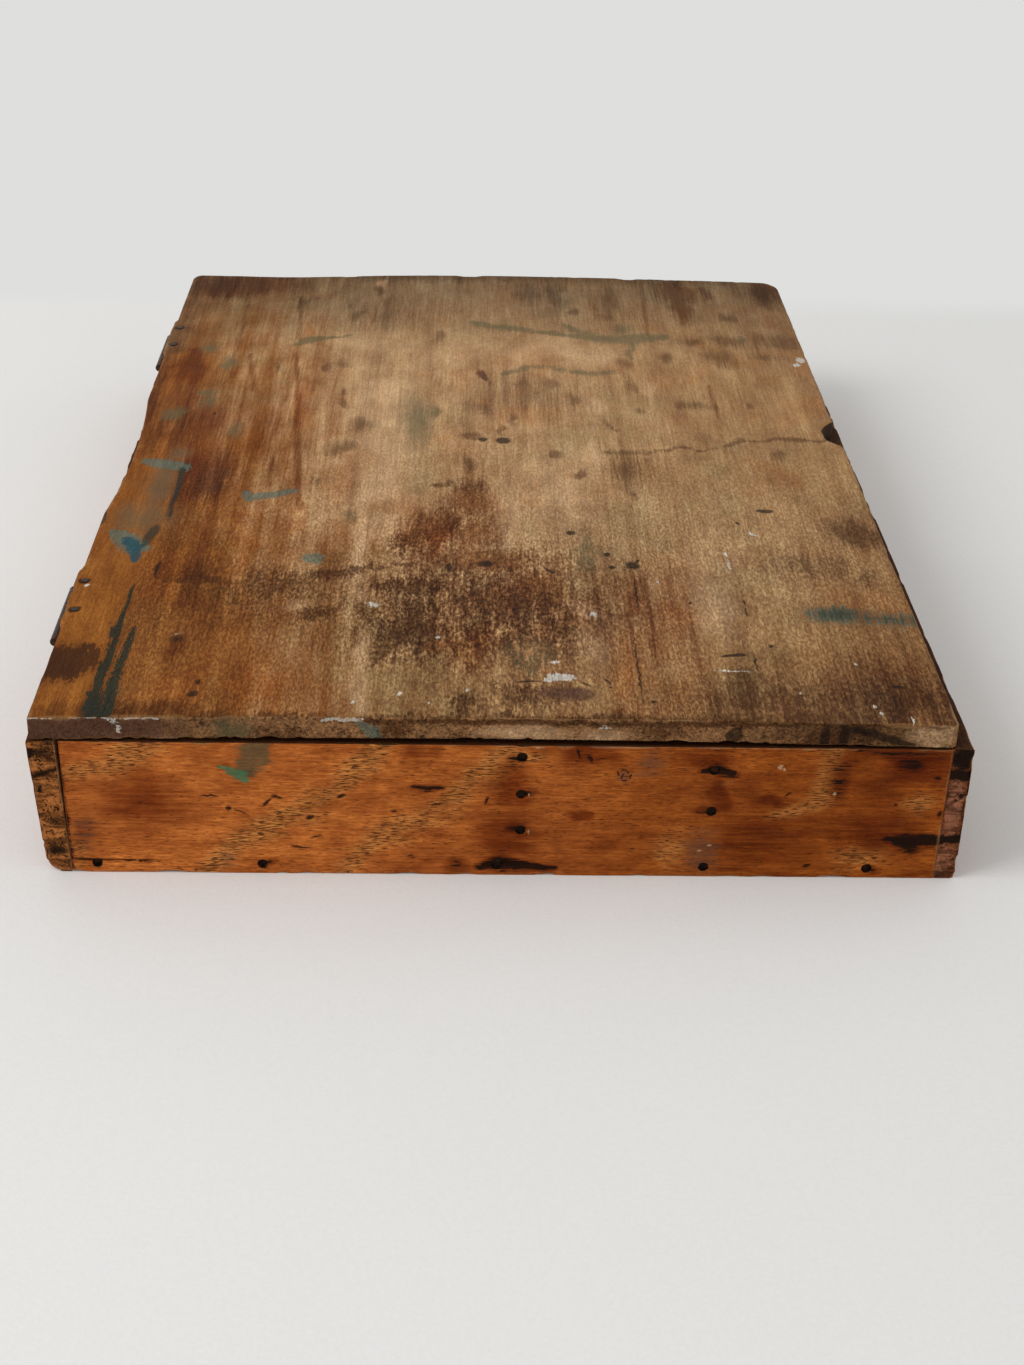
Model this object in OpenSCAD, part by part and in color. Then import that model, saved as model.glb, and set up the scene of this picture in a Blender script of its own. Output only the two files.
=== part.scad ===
// Nailed wooden art box with a cupped lid on two butt hinges.
// Millimetres, +Z up. The origin is the middle of the underside; the front end is at -Y,
// the hinged long side at -X.

/* [Box] */
// Length of the box from front end to back end
box_l = 356; // [300:1:460]
// Width of the box at its front end
box_w = 254; // [220:1:340]
// How much narrower the box was nailed up at its back end
back_narrowing = 4.5; // [0:0.5:8]
// Height of the four walls
wall_h = 42.7; // [38:0.1:70]

/* [Boards] */
// Thickness of the hinged side at its top edge
left_t = 7.6; // [7:0.1:12]
// How far the foot of the hinged side is worn in from its top edge
left_foot_in = 2; // [0:0.1:3]
// Rounding of the worn foot of the hinged side
left_foot_r = 2.8; // [1:0.1:3]
// Opening of the shrunken corner joint at the top of the hinged side
corner_gap = 1.2; // [0:0.1:2]
// Thickness of the free side
right_t = 6; // [5:0.1:12]
// Thickness of the two end boards
end_t = 8; // [5:0.1:14]
// Thickness of the bottom board
bottom_t = 6.5; // [4:0.1:10]

/* [Dividers] */
// Thickness of the dividers
divider_t = 6; // [4:0.1:10]
// How far the dividers stop below the top of the walls
divider_drop = 1; // [0.5:0.1:10]
// Clear width of the bay beside the hinged side
left_bay = 120.5; // [60:0.5:125]
// Clear width of the bay between the two dividers
middle_bay = 46; // [20:0.5:50]

/* [Lid] */
// Thickness of the lid board
lid_t = 7; // [5:0.1:12]
// Rise of the cupped lid at the middle of its width
lid_rise = 1.5; // [0.2:0.1:4]
// Gap between the walls and the edges of the lid
lid_gap = 0.3; // [0.2:0.05:1]
// How far the hinged edge of the lid stands in from the side
lid_in_left = 0.4; // [0.3:0.1:2]
// How far the shrunken free edge stands in from the side at the front
lid_in_front = 5; // [0:0.1:6]
// How far the shrunken free edge stands in from the side at the back
lid_in_back = 3; // [0:0.1:6]
// Radius of the finger notch in the free edge
notch_r = 14; // [9:0.5:20]
// Depth of the finger notch
notch_depth = 5.4; // [3:0.1:8]
// Distance of the finger notch from the front
notch_from_front = 196; // [60:1:240]
// Length of the hollow worn into the hinged edge
hollow_l = 110; // [40:1:120]
// Depth of the hollow worn into the hinged edge
hollow_depth = 3.4; // [0.5:0.1:3.6]
// Distance of the middle of the hollow from the front
hollow_from_front = 172; // [145:1:200]
// Corner rounding at the front of the free edge
front_right_r = 2.5; // [0.5:0.1:12]
// Corner rounding at the back of the free edge
back_right_r = 8; // [0.5:0.1:12]
// Corner rounding at the back of the hinged edge
back_left_r = 4.5; // [0.5:0.1:12]

/* [Hinges] */
// Length of each hinge
hinge_l = 32; // [24:0.5:50]
// Distance of the front hinge's middle from the front of the box
front_hinge_from_end = 69; // [40:1:100]
// Distance of the rear hinge's middle from the back of the box
rear_hinge_from_end = 73; // [40:1:100]
// Width of a leaf, from the side's outer face inwards
leaf_w = 6.6; // [5:0.1:7]
// Thickness of a leaf
leaf_t = 1; // [0.8:0.1:1.5]
// Diameter of the knuckles
knuckle_d = 2.8; // [2.6:0.1:5]
// Diameter of the hinge pin
pin_d = 1.4; // [1:0.1:1.6]
// How far the riveted ends of the pin stand out of the knuckles
pin_end = 0.4; // [0.1:0.1:1]
// Clearance between a knuckle and what it turns past
knuckle_gap = 0.3; // [0.2:0.05:0.5]
// Distance between the two screws of a leaf
screw_pitch = 18; // [10:0.5:24]
// Shank diameter of the hinge screws
screw_d = 2; // [1.4:0.1:2.4]
// Head diameter of the hinge screws
screw_head_d = 4; // [3:0.1:4.6]
// Length of the screws in the hinged side
screw_l = 12; // [8:0.5:20]
// Depth of the screw slot
slot_depth = 0.4; // [0.2:0.1:0.6]
// Width of the screw slot
slot_w = 0.5; // [0.3:0.1:0.8]

/* [Nails] */
// Length of the nails
nail_l = 22; // [18:0.5:30]
// Shank diameter of the nails
nail_d = 1.4; // [1:0.1:1.8]
// Head diameter of the nails
nail_head_d = 2.4; // [2:0.1:3]
// Thickness of a nail head
nail_head_t = 0.8; // [0.4:0.1:1.2]
// How far the nail heads are punched below the wood
nail_set = 0.8; // [0.2:0.1:1.5]
// Length of a nail's point
nail_point = 2.5; // [1:0.1:4]
// Depth of the highest nail of the centre divider below the top of the walls
centre_nail_top = 3.8; // [3:0.1:8]
// Spacing of the nails of the centre divider
centre_nail_pitch = 11.8; // [6:0.1:12]
// Depth of the highest nail of the right divider below the top of the walls
right_nail_top = 7.5; // [3:0.1:10]
// Spacing of the nails of the right divider
right_nail_pitch = 13.3; // [6:0.1:16]
// Distance of the outer corner nails from the top and foot of the walls
corner_nail_edge = 9; // [8:0.1:14]
// Distance of the outer side nails from the ends of the box
side_nail_edge = 50; // [35:1:80]
// Clearance of pins, screws and nails in their holes
fit = 0.05; // [0.01:0.01:0.1]

/* [Hidden] */
$fn = 48;
centre_nails = 3;
right_nails = 2;
corner_nails = 3;
side_nails = 4;
// Places of the hand-driven nails along the foot of an end board, as shares of its length
foot_nail_shares = [0.03, 0.22, 0.49, 0.73, 0.92];
// Strips that make up the curve of the cupped lid
crown_strips = 12;
// Overshoot of cuts past the faces they open through
past = 2;

front_y = -box_l / 2;
back_y = box_l / 2;
bay_l = box_l - 2 * end_t;

// Outer face and inner face of the free side at a place along the box
function right_out(y) = box_w / 2 - back_narrowing * (y - front_y) / box_l;
function right_in(y) = right_out(y) - right_t;

// The hinged side: its outer face at a height, and the upright plane its neighbours butt against
left_top_x = -box_w / 2;
left_foot_x = left_top_x + left_foot_in;
left_joint_x = left_top_x + left_t + corner_gap;
foot_r = min(left_foot_r, (left_joint_x - left_foot_x) / 2 - fit);
function left_out(z) = left_foot_x - left_foot_in * z / wall_h;

divider_h = wall_h - divider_drop - bottom_t;
centre_divider_x = left_joint_x + left_bay + divider_t / 2;
right_divider_x = centre_divider_x + divider_t + middle_bay;

lid_under_z = wall_h + lid_gap;
lid_left_x = left_top_x + lid_in_left;
lid_front_x = right_out(front_y) - lid_in_front;
lid_back_x = right_out(back_y) - lid_in_back;
function lid_right(y) = lid_front_x + (lid_back_x - lid_front_x) * (y - front_y) / box_l;
lid_mid_x = (lid_left_x + lid_front_x) / 2;
lid_half_w = (lid_front_x - lid_left_x) / 2;
function crown(x) = lid_rise * (1 - pow((x - lid_mid_x) / lid_half_w, 2));
notch_y = front_y + notch_from_front;
hollow_y = front_y + hollow_from_front;
hollow_r = hollow_l * hollow_l / (8 * hollow_depth) + hollow_depth / 2;

// The pin's axis stands clear of the side by the knuckle's radius and its clearance
hinge_out = knuckle_d / 2 + knuckle_gap;
hinge_x = left_top_x - hinge_out;
hinge_z = wall_h + lid_gap / 2;
front_hinge_y = front_y + front_hinge_from_end;
rear_hinge_y = back_y - rear_hinge_from_end;
knuckle_l = hinge_l / 3;
screw_in = hinge_out + leaf_w / 2;
lid_screw_l = lid_t + crown(hinge_x + screw_in) - fit;
screw_ys = [-screw_pitch / 2, screw_pitch / 2];

// Nails

// A nail along +Z: its head is punched below the surface at z = 0
module nail() {
    translate([0, 0, nail_set])
        cylinder(d = nail_head_d, h = nail_head_t);
    translate([0, 0, nail_set])
        cylinder(d = nail_d, h = nail_l - nail_set - nail_point);
    translate([0, 0, nail_l - nail_point])
        cylinder(d1 = nail_d, d2 = nail_d / 4, h = nail_point);
}

// The hole that a nail makes, open through the surface
module nail_hole() {
    translate([0, 0, -past])
        cylinder(d = nail_head_d + 2 * fit, h = past + nail_set + nail_head_t);
    cylinder(d = nail_d + 2 * fit, h = nail_l + fit);
}

// Each module below sets children along the nails of one row; side is -1 or 1

module divider_nail_places(side) {
    for (i = [0 : centre_nails - 1])
        translate([centre_divider_x, side * box_l / 2, wall_h - centre_nail_top - i * centre_nail_pitch])
            rotate([side * 90, 0, 0]) children();
    for (i = [0 : right_nails - 1])
        translate([right_divider_x, side * box_l / 2, wall_h - right_nail_top - i * right_nail_pitch])
            rotate([side * 90, 0, 0]) children();
}

module end_foot_nail_places(side) {
    end_l = right_in(side * box_l / 2) - left_joint_x;
    for (share = foot_nail_shares)
        translate([left_joint_x + share * end_l, side * box_l / 2, bottom_t / 2])
            rotate([side * 90, 0, 0]) children();
}

module side_nail(side, y, z) {
    x = side < 0 ? left_out(z) : right_out(y);
    translate([x, y, z]) rotate([0, -side * 90, 0]) children();
}

module corner_nail_places(side) {
    step = (wall_h - 2 * corner_nail_edge) / (corner_nails - 1);
    for (end = [-1, 1], i = [0 : corner_nails - 1])
        side_nail(side, end * (box_l - end_t) / 2, corner_nail_edge + i * step) children();
}

module side_foot_nail_places(side) {
    step = (box_l - 2 * side_nail_edge) / (side_nails - 1);
    for (i = [0 : side_nails - 1])
        side_nail(side, front_y + side_nail_edge + i * step, bottom_t / 2) children();
}

module front_divider_nails() { color("#3a2c24") divider_nail_places(-1) nail(); }
module back_divider_nails() { color("#3a2c24") divider_nail_places(1) nail(); }
module front_bottom_nails() { color("#3a2c24") end_foot_nail_places(-1) nail(); }
module back_bottom_nails() { color("#3a2c24") end_foot_nail_places(1) nail(); }
module left_corner_nails() { color("#3a2c24") corner_nail_places(-1) nail(); }
module right_corner_nails() { color("#3a2c24") corner_nail_places(1) nail(); }
module left_bottom_nails() { color("#3a2c24") side_foot_nail_places(-1) nail(); }
module right_bottom_nails() { color("#3a2c24") side_foot_nail_places(1) nail(); }

// Walls and bottom

// Cross-section of the hinged side: leaning faces and a foot worn round
module left_side_section() {
    lean = atan2(left_foot_in, wall_h);
    foot_x = left_foot_x + foot_r * (1 - sin(lean)) / cos(lean);
    polygon([
        [foot_x, 0],
        [left_joint_x, 0],
        [left_joint_x - corner_gap, wall_h],
        [left_top_x, wall_h],
        [foot_x - foot_r * cos(lean), foot_r - foot_r * sin(lean)]
    ]);
    translate([foot_x, foot_r]) circle(foot_r);
}

module left_side() {
    color("#5a4128") difference() {
        rotate([90, 0, 0]) linear_extrude(box_l, center = true) left_side_section();
        corner_nail_places(-1) nail_hole();
        side_foot_nail_places(-1) nail_hole();
        for (y = [front_hinge_y, rear_hinge_y])
            translate([hinge_x, y, hinge_z]) side_mortise();
    }
}

module right_side() {
    color("#5b3a2e") difference() {
        linear_extrude(wall_h) polygon([
            [right_in(front_y), front_y],
            [right_out(front_y), front_y],
            [right_out(back_y), back_y],
            [right_in(back_y), back_y]
        ]);
        corner_nail_places(1) nail_hole();
        side_foot_nail_places(1) nail_hole();
    }
}

// A board that fills the plan between the sides from y0 to y1
module between_sides(y0, y1, height) {
    linear_extrude(height) polygon([
        [left_joint_x, y0],
        [right_in(y0), y0],
        [right_in(y1), y1],
        [left_joint_x, y1]
    ]);
}

module end_board(side, y0, y1) {
    difference() {
        between_sides(y0, y1, wall_h);
        divider_nail_places(side) nail_hole();
        end_foot_nail_places(side) nail_hole();
        corner_nail_places(-1) nail_hole();
        corner_nail_places(1) nail_hole();
    }
}

module front_end() { color("#a8622c") end_board(-1, front_y, front_y + end_t); }
module back_end() { color("#a8622c") end_board(1, back_y - end_t, back_y); }

module bottom_board() {
    color("#8f6238") difference() {
        between_sides(front_y + end_t, back_y - end_t, bottom_t);
        for (side = [-1, 1]) {
            end_foot_nail_places(side) nail_hole();
            side_foot_nail_places(side) nail_hole();
        }
    }
}

module divider(x) {
    difference() {
        translate([x - divider_t / 2, -bay_l / 2, bottom_t]) cube([divider_t, bay_l, divider_h]);
        for (side = [-1, 1])
            divider_nail_places(side) nail_hole();
    }
}

module centre_divider() { color("#9a6a3e") divider(centre_divider_x); }
module right_divider() { color("#9a6a3e") divider(right_divider_x); }

// Lid

// What is cut from a square corner of radius r that points to -X -Y
module corner_waste(r) {
    difference() {
        translate([-past, -past]) square(r + past);
        translate([r, r]) circle(r);
    }
}

module lid_outline() {
    difference() {
        polygon([
            [lid_left_x, front_y],
            [lid_front_x, front_y],
            [lid_back_x, back_y],
            [lid_left_x, back_y]
        ]);
        translate([lid_right(notch_y) + notch_r - notch_depth, notch_y]) circle(notch_r);
        translate([lid_left_x - hollow_r + hollow_depth, hollow_y]) circle(hollow_r, $fn = 720);
        translate([lid_front_x, front_y]) rotate(90) corner_waste(front_right_r);
        translate([lid_back_x, back_y]) rotate(180) corner_waste(back_right_r);
        translate([lid_left_x, back_y]) rotate(-90) corner_waste(back_left_r);
    }
}

// Cross-section of the cupped board, wider than the lid so that its outline trims it
module lid_section() {
    first_x = lid_left_x - past;
    step = (lid_front_x - lid_left_x + 2 * past) / crown_strips;
    xs = [for (i = [0 : crown_strips]) first_x + i * step];
    polygon(concat(
        [for (i = [0 : crown_strips]) [xs[i], lid_under_z + crown(xs[i])]],
        [for (i = [crown_strips : -1 : 0]) [xs[i], lid_under_z + lid_t + crown(xs[i])]]
    ));
}

module lid_board() {
    color("#7d5a36") difference() {
        intersection() {
            translate([0, 0, wall_h]) linear_extrude(lid_gap + lid_t + lid_rise + past) lid_outline();
            rotate([90, 0, 0]) linear_extrude(box_l + 2 * past, center = true) lid_section();
        }
        for (y = [front_hinge_y, rear_hinge_y])
            translate([hinge_x, y, hinge_z]) lid_mortise();
    }
}

// Hinges, drawn round the pin's axis at the middle of their length

module knuckle(y0, y1) {
    translate([0, y1, 0]) rotate([90, 0, 0]) cylinder(d = knuckle_d, h = y1 - y0);
}

module pin_bore() {
    rotate([90, 0, 0]) cylinder(d = pin_d + 2 * fit, h = hinge_l + 2 * past, center = true);
}

// Two screws stand on the face of a leaf; up is 1 for the lid and -1 for the side
module screw_places(up) {
    for (y = screw_ys)
        translate([screw_in, y, up * lid_gap / 2]) mirror([0, 0, up < 0 ? 1 : 0]) children();
}

module countersink(spare) {
    cylinder(d1 = screw_head_d + 2 * spare, d2 = screw_d + 2 * spare, h = leaf_t);
}

// A flat leaf and its knuckles; rolls holds where each knuckle starts and ends along the hinge
module leaf(up, rolls) {
    leaf_z = up < 0 ? -lid_gap / 2 - leaf_t : lid_gap / 2;
    difference() {
        union() {
            translate([hinge_out, -hinge_l / 2, leaf_z]) cube([leaf_w, hinge_l, leaf_t]);
            for (roll = rolls) {
                knuckle(roll[0], roll[1]);
                translate([0, roll[0], leaf_z]) cube([hinge_out + past, roll[1] - roll[0], leaf_t]);
            }
        }
        pin_bore();
        screw_places(up) countersink(fit);
    }
}

module side_leaf() {
    inner = knuckle_l / 2 + knuckle_gap / 2;
    leaf(-1, [[-hinge_l / 2, -inner], [inner, hinge_l / 2]]);
}

module lid_leaf() {
    half = knuckle_l / 2 - knuckle_gap / 2;
    leaf(1, [[-half, half]]);
}

module hinge_pin() {
    rotate([90, 0, 0]) cylinder(d = pin_d, h = hinge_l + 2 * pin_end, center = true);
}

// Countersunk screw along +Z from the leaf's face
module screw(length) {
    difference() {
        union() {
            countersink(0);
            cylinder(d = screw_d, h = length);
        }
        translate([-screw_head_d / 2, -slot_w / 2, -past]) cube([screw_head_d, slot_w, past + slot_depth]);
    }
}

module screw_hole(length) {
    cylinder(d = screw_d + 2 * fit, h = length + fit);
}

// What the hinge takes out of the hinged side: the leaf's bed and the screw holes
module side_mortise() {
    translate([hinge_out - past, -hinge_l / 2 - fit, -lid_gap / 2 - leaf_t])
        cube([leaf_w + past + fit, hinge_l + 2 * fit, leaf_t + past]);
    screw_places(-1) screw_hole(screw_l);
}

// What the hinge takes out of the lid; the screws were filed off flush with its top
module lid_mortise() {
    translate([hinge_out - past, -hinge_l / 2 - fit, lid_gap / 2 - past])
        cube([leaf_w + past + fit, hinge_l + 2 * fit, leaf_t + past]);
    screw_places(1) screw_hole(lid_screw_l + past);
}

module front_hinge_side_leaf() { color("#40382f") translate([hinge_x, front_hinge_y, hinge_z]) side_leaf(); }
module rear_hinge_side_leaf() { color("#40382f") translate([hinge_x, rear_hinge_y, hinge_z]) side_leaf(); }
module front_hinge_lid_leaf() { color("#40382f") translate([hinge_x, front_hinge_y, hinge_z]) lid_leaf(); }
module rear_hinge_lid_leaf() { color("#40382f") translate([hinge_x, rear_hinge_y, hinge_z]) lid_leaf(); }
module front_hinge_pin() { color("#4a443c") translate([hinge_x, front_hinge_y, hinge_z]) hinge_pin(); }
module rear_hinge_pin() { color("#4a443c") translate([hinge_x, rear_hinge_y, hinge_z]) hinge_pin(); }

module side_screws(y) {
    color("#38312a") translate([hinge_x, y, hinge_z]) screw_places(-1) screw(screw_l);
}

module lid_screws(y) {
    color("#38312a") translate([hinge_x, y, hinge_z]) screw_places(1) screw(lid_screw_l);
}

module front_hinge_side_screws() { side_screws(front_hinge_y); }
module rear_hinge_side_screws() { side_screws(rear_hinge_y); }
module front_hinge_lid_screws() { lid_screws(front_hinge_y); }
module rear_hinge_lid_screws() { lid_screws(rear_hinge_y); }

lid_board();
left_side();
right_side();
front_end();
back_end();
bottom_board();
centre_divider();
right_divider();
front_divider_nails();
back_divider_nails();
front_bottom_nails();
back_bottom_nails();
left_corner_nails();
right_corner_nails();
left_bottom_nails();
right_bottom_nails();
front_hinge_side_leaf();
rear_hinge_side_leaf();
front_hinge_lid_leaf();
rear_hinge_lid_leaf();
front_hinge_pin();
rear_hinge_pin();
front_hinge_side_screws();
rear_hinge_side_screws();
front_hinge_lid_screws();
rear_hinge_lid_screws();
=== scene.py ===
# %% [markdown]
# # An old art box
#
# A shallow nailed box with a hinged lid, of the kind that holds brushes and tubes. The measured model is
# packed already, with its boards, nails and hinges in their true places. This lesson gives that model the
# skin of the real thing: rubbed arrises, end grain, stains, dried paint and rust.
#
# Everything here stands on the packed model, so it is loaded first. Nothing that is built here may outgrow
# it.

# %% Load the packed box
from collections import namedtuple
from itertools import product

import bpy
import numpy as np
from mathutils import Matrix, Vector


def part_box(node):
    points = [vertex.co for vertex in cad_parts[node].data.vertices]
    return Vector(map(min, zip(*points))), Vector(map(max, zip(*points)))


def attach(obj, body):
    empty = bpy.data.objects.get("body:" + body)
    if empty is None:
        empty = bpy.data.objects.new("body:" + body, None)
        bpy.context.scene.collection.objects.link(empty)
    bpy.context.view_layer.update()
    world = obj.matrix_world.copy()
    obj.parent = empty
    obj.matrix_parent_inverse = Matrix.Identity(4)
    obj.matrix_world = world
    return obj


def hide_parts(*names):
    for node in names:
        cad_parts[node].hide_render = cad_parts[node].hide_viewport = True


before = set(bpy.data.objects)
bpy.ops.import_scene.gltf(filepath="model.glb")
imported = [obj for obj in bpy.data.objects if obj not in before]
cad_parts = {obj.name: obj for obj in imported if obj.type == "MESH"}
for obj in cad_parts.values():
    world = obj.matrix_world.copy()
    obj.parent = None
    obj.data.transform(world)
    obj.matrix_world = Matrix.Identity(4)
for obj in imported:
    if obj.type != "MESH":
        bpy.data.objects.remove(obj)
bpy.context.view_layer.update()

MM = 0.001


def node_box(node):
    """The lowest and highest corner of a packed node, in millimetres."""
    return [np.array(corner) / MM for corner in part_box(node)]


# %% [markdown]
# ## The camera
#
# The box is seen from its front end, a little from the left, looking down at about thirty degrees. A camera
# can be aimed with angles or with a Track To constraint. Here its three axes are written out, because they
# also hold the small tilt of a hand-held picture.

# %% Camera
EYE = Vector((-10.2, -615.0, 320.4)) * MM
TO_THE_RIGHT = Vector((0.99966, -0.01554, 0.02107))
UPWARDS = Vector((-0.01023, 0.50885, 0.86080))
BACKWARDS = Vector((-0.02410, -0.86072, 0.50851))

lens = bpy.data.cameras.new("camera")
lens.sensor_width = 36
lens.lens = 51.2
camera = bpy.data.objects.new("camera", lens)
turned = Matrix((TO_THE_RIGHT, UPWARDS, BACKWARDS)).transposed().to_4x4()
camera.matrix_world = Matrix.Translation(EYE) @ turned
bpy.context.collection.objects.link(camera)
bpy.context.scene.camera = camera
bpy.context.scene.view_settings.view_transform = "Standard"
print("camera", round(EYE.length / MM), "mm from the middle of the foot")

# %% [markdown]
# ## Shader sums as plain Python
#
# A finish of old wood needs a few hundred nodes, and wiring them by hand hides what they work out. So one
# small class wraps the output of a node. A sum on wrapped values adds the Math node that does it, and
# `1 - mask` reads as it would on paper. A second class adds every other node, from its type, its settings
# and what its sockets are fed.

# %% A value in a finish
class Value:
    """One output of a shader node, which can be added, multiplied and compared like a number."""

    def __init__(self, nodes, socket):
        self.nodes, self.socket = nodes, socket

    def other(self, output):
        """Another output of the same node."""
        return Value(self.nodes, self.socket.node.outputs[output])

    def math(self, operation, first, second):
        return self.nodes.add("ShaderNodeMath", {"operation": operation}, {0: first, 1: second})

    def __add__(self, number):
        return self.math("ADD", self, number)

    def __sub__(self, number):
        return self.math("SUBTRACT", self, number)

    def __rsub__(self, number):
        return self.math("SUBTRACT", number, self)

    def __mul__(self, number):
        return self.math("MULTIPLY", self, number)

    def __or__(self, number):
        return self.math("MAXIMUM", self, number)

    __radd__, __rmul__, __ror__ = __add__, __mul__, __or__


print("values know + - * and | for the larger of two")


# %% A set of nodes
class Nodes:
    """The nodes of a finish or of the room, all added and fed in the same way."""

    def __init__(self, tree):
        self.tree = tree

    def add(self, kind, settings, sockets, output=0):
        """Add any node: its settings come first, then the values or links of its sockets."""
        node = self.tree.nodes.new(kind)
        for name, value in settings.items():
            setattr(node, name, value)
        for name, value in sockets.items():
            self.link(node.inputs[name], value)
        return Value(self, node.outputs[output])

    def link(self, socket, value):
        """Feed a socket from a wrapped value, or set it to a number or a colour."""
        if isinstance(value, Value):
            self.tree.links.new(value.socket, socket)
        elif socket.type == "RGBA" and len(value) == 3:
            socket.default_value = (*value, 1)
        else:
            socket.default_value = value


print("any node can be added with its settings and its sockets")


# %% [markdown]
# ## A finish
#
# Each finish is one material. Its patterns are placed in millimetres of the box itself, so a streak is as
# wide as a streak of real wood, and a board keeps its pattern when the lid swings. `noise` makes speckle of
# a given size along each axis: wood is speckle that is long in the direction of the grain.

# %% The finish class
SPECKLE_SHIFT = (7.3, 3.1, 5.7)
REDDENING = (1.0, 1.3, 1.5)


class Finish(Nodes):
    """A material, with the few ways of making patterns that the box needs."""

    def __init__(self, name, roughness=0.7, gloss=0.06):
        self.material = bpy.data.materials.new(name)
        self.material.use_nodes = True
        super().__init__(self.material.node_tree)
        self.shader = self.tree.nodes["Principled BSDF"]
        self.shader.inputs["Roughness"].default_value = roughness
        self.shader.inputs["Specular IOR Level"].default_value = gloss
        place = self.add("ShaderNodeTexCoord", {}, {}, "Object")
        self.place = self.vector("SCALE", place, Scale=1 / MM)
        self.x = self.add("ShaderNodeSeparateXYZ", {}, {0: self.place})
        self.y = self.x.other(1)
        self.seed = 0

    def vector(self, operation, *parts, output=0, **named):
        """A sum on whole vectors or colours."""
        sockets = {**dict(enumerate(parts)), **named}
        return self.add("ShaderNodeVectorMath", {"operation": operation}, sockets, output)

    def wear(self, name):
        """A value that the mesh carries at its points."""
        return self.add("ShaderNodeAttribute", {"attribute_name": name}, {}, "Fac")

    def noise(self, size, detail=2.0, rough=0.5, output=0, curl=0.0):
        """Speckle about size mm wide, one number or one for each axis; its middle is 0.5."""
        self.seed += 1
        share = [1 / s for s in (size if hasattr(size, "__len__") else (size,) * 3)]
        shift = [step * self.seed for step in SPECKLE_SHIFT]
        spot = self.vector("MULTIPLY_ADD", self.place, share, shift)
        sockets = {"Vector": spot, "Scale": 1.0, "Detail": detail, "Roughness": rough, "Distortion": curl}
        return self.add("ShaderNodeTexNoise", {}, sockets, output)

    def band(self, value, low, high):
        """0 below low, 1 above high and a soft step between; low may be the larger one."""
        settings = {"interpolation_type": "SMOOTHSTEP", "clamp": False}
        return self.add("ShaderNodeMapRange", settings, {"Value": value, "From Min": low, "From Max": high})

    def seen(self, depth, breaks, near, rim):
        """Where a mark shows, from how deep places lie in it, with breaks that start near its rim."""
        return self.band(depth + breaks * self.band(depth, *near), *rim)

    def mix(self, share, first, second, blend="MIX"):
        """Lay a share of the second colour over the first."""
        settings = {"data_type": "RGBA", "blend_type": blend}
        # Sockets of a Mix node share names, so numbers tell them apart: 6 and 7 are its two colours.
        return self.add("ShaderNodeMix", settings, {0: share, 6: first, 7: second}, 2)

    def shade(self, colour, light):
        """The same colour, lighter or darker."""
        return self.vector("SCALE", colour, Scale=light)

    def tone(self, colour, light):
        """Lighter or darker wood: as it darkens, it gets redder too."""
        grey = self.add("ShaderNodeCombineXYZ", {}, {0: light, 1: light, 2: light})
        return self.vector("MULTIPLY", colour, self.vector("POWER", grey, REDDENING))

    def bend(self, size, reach):
        """The place, pushed about by up to reach mm, so that what is drawn there gets a wandering edge."""
        wander = self.noise(size, 2, 0.6, 1)
        push = self.vector("SUBTRACT", wander, (0.5, 0.5, 0.5))
        return self.vector("MULTIPLY_ADD", push, (4 * reach,) * 3, self.place)

    def out(self, **feeds):
        """Feed sockets of the shader: Base_Color, Roughness, Metallic, or Height for a bump in mm."""
        for name, value in feeds.items():
            if name == "Height":
                sockets = {"Height": value, "Strength": 1.0, "Distance": MM}
                name, value = "Normal", self.add("ShaderNodeBump", {}, sockets)
            self.link(self.shader.inputs[name.replace("_", " ")], value)
        print("finish", self.material.name, "has", len(self.tree.nodes), "nodes")
        return self.material


print("a finish can", ", ".join(name for name in vars(Finish) if not name.startswith("_")))

# %% [markdown]
# ## The table, the room and the lamp
#
# The box stands on a pale sheet in front of a pale wall. The sheet is a plane whose far rim fades out, and
# the world has the wall's colour, so no wall stands in the way when the box is seen from behind. One large
# soft lamp on the left gives the box its shadow side, and the world fills the rest, so that a colour comes
# out about as bright as it is written.

# %% Sheet and world
SHEET_COLOUR = (0.80, 0.795, 0.785)
WALL_COLOUR = (0.735, 0.735, 0.725)
FILL_LIGHT = 0.66
SHEET_REACH, SHEET_END = 2.0, 0.32
SHEET_FADE = (271, 307)


def pale_sheet():
    finish = Finish("pale_sheet", roughness=0.85)
    tooth = finish.noise(1.1, 3, 0.6)
    cloud = finish.noise(120, 2)
    colour = finish.shade(SHEET_COLOUR, 0.94 + 0.09 * tooth + 0.03 * cloud)
    material = finish.out(Base_Color=colour, Height=0.06 * tooth)
    surface = next(n for n in finish.tree.nodes if n.type == "OUTPUT_MATERIAL").inputs["Surface"]
    clear = finish.add("ShaderNodeBsdfTransparent", {}, {})
    solid = Value(finish, finish.shader.outputs[0])
    fade = finish.band(finish.y, *SHEET_FADE)
    finish.link(surface, finish.add("ShaderNodeMixShader", {}, {0: fade, 1: solid, 2: clear}))
    return material


def sheet_plane():
    mesh = bpy.data.meshes.new("sheet")
    left, right, near, far = -SHEET_REACH, SHEET_REACH, -SHEET_REACH, SHEET_END
    corners = [(left, near, 0), (right, near, 0), (right, far, 0), (left, far, 0)]
    mesh.from_pydata(corners, [], [(0, 1, 2, 3)])
    mesh.materials.append(pale_sheet())
    return mesh


sheet = bpy.data.objects.new("sheet", sheet_plane())
bpy.context.collection.objects.link(sheet)

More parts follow.
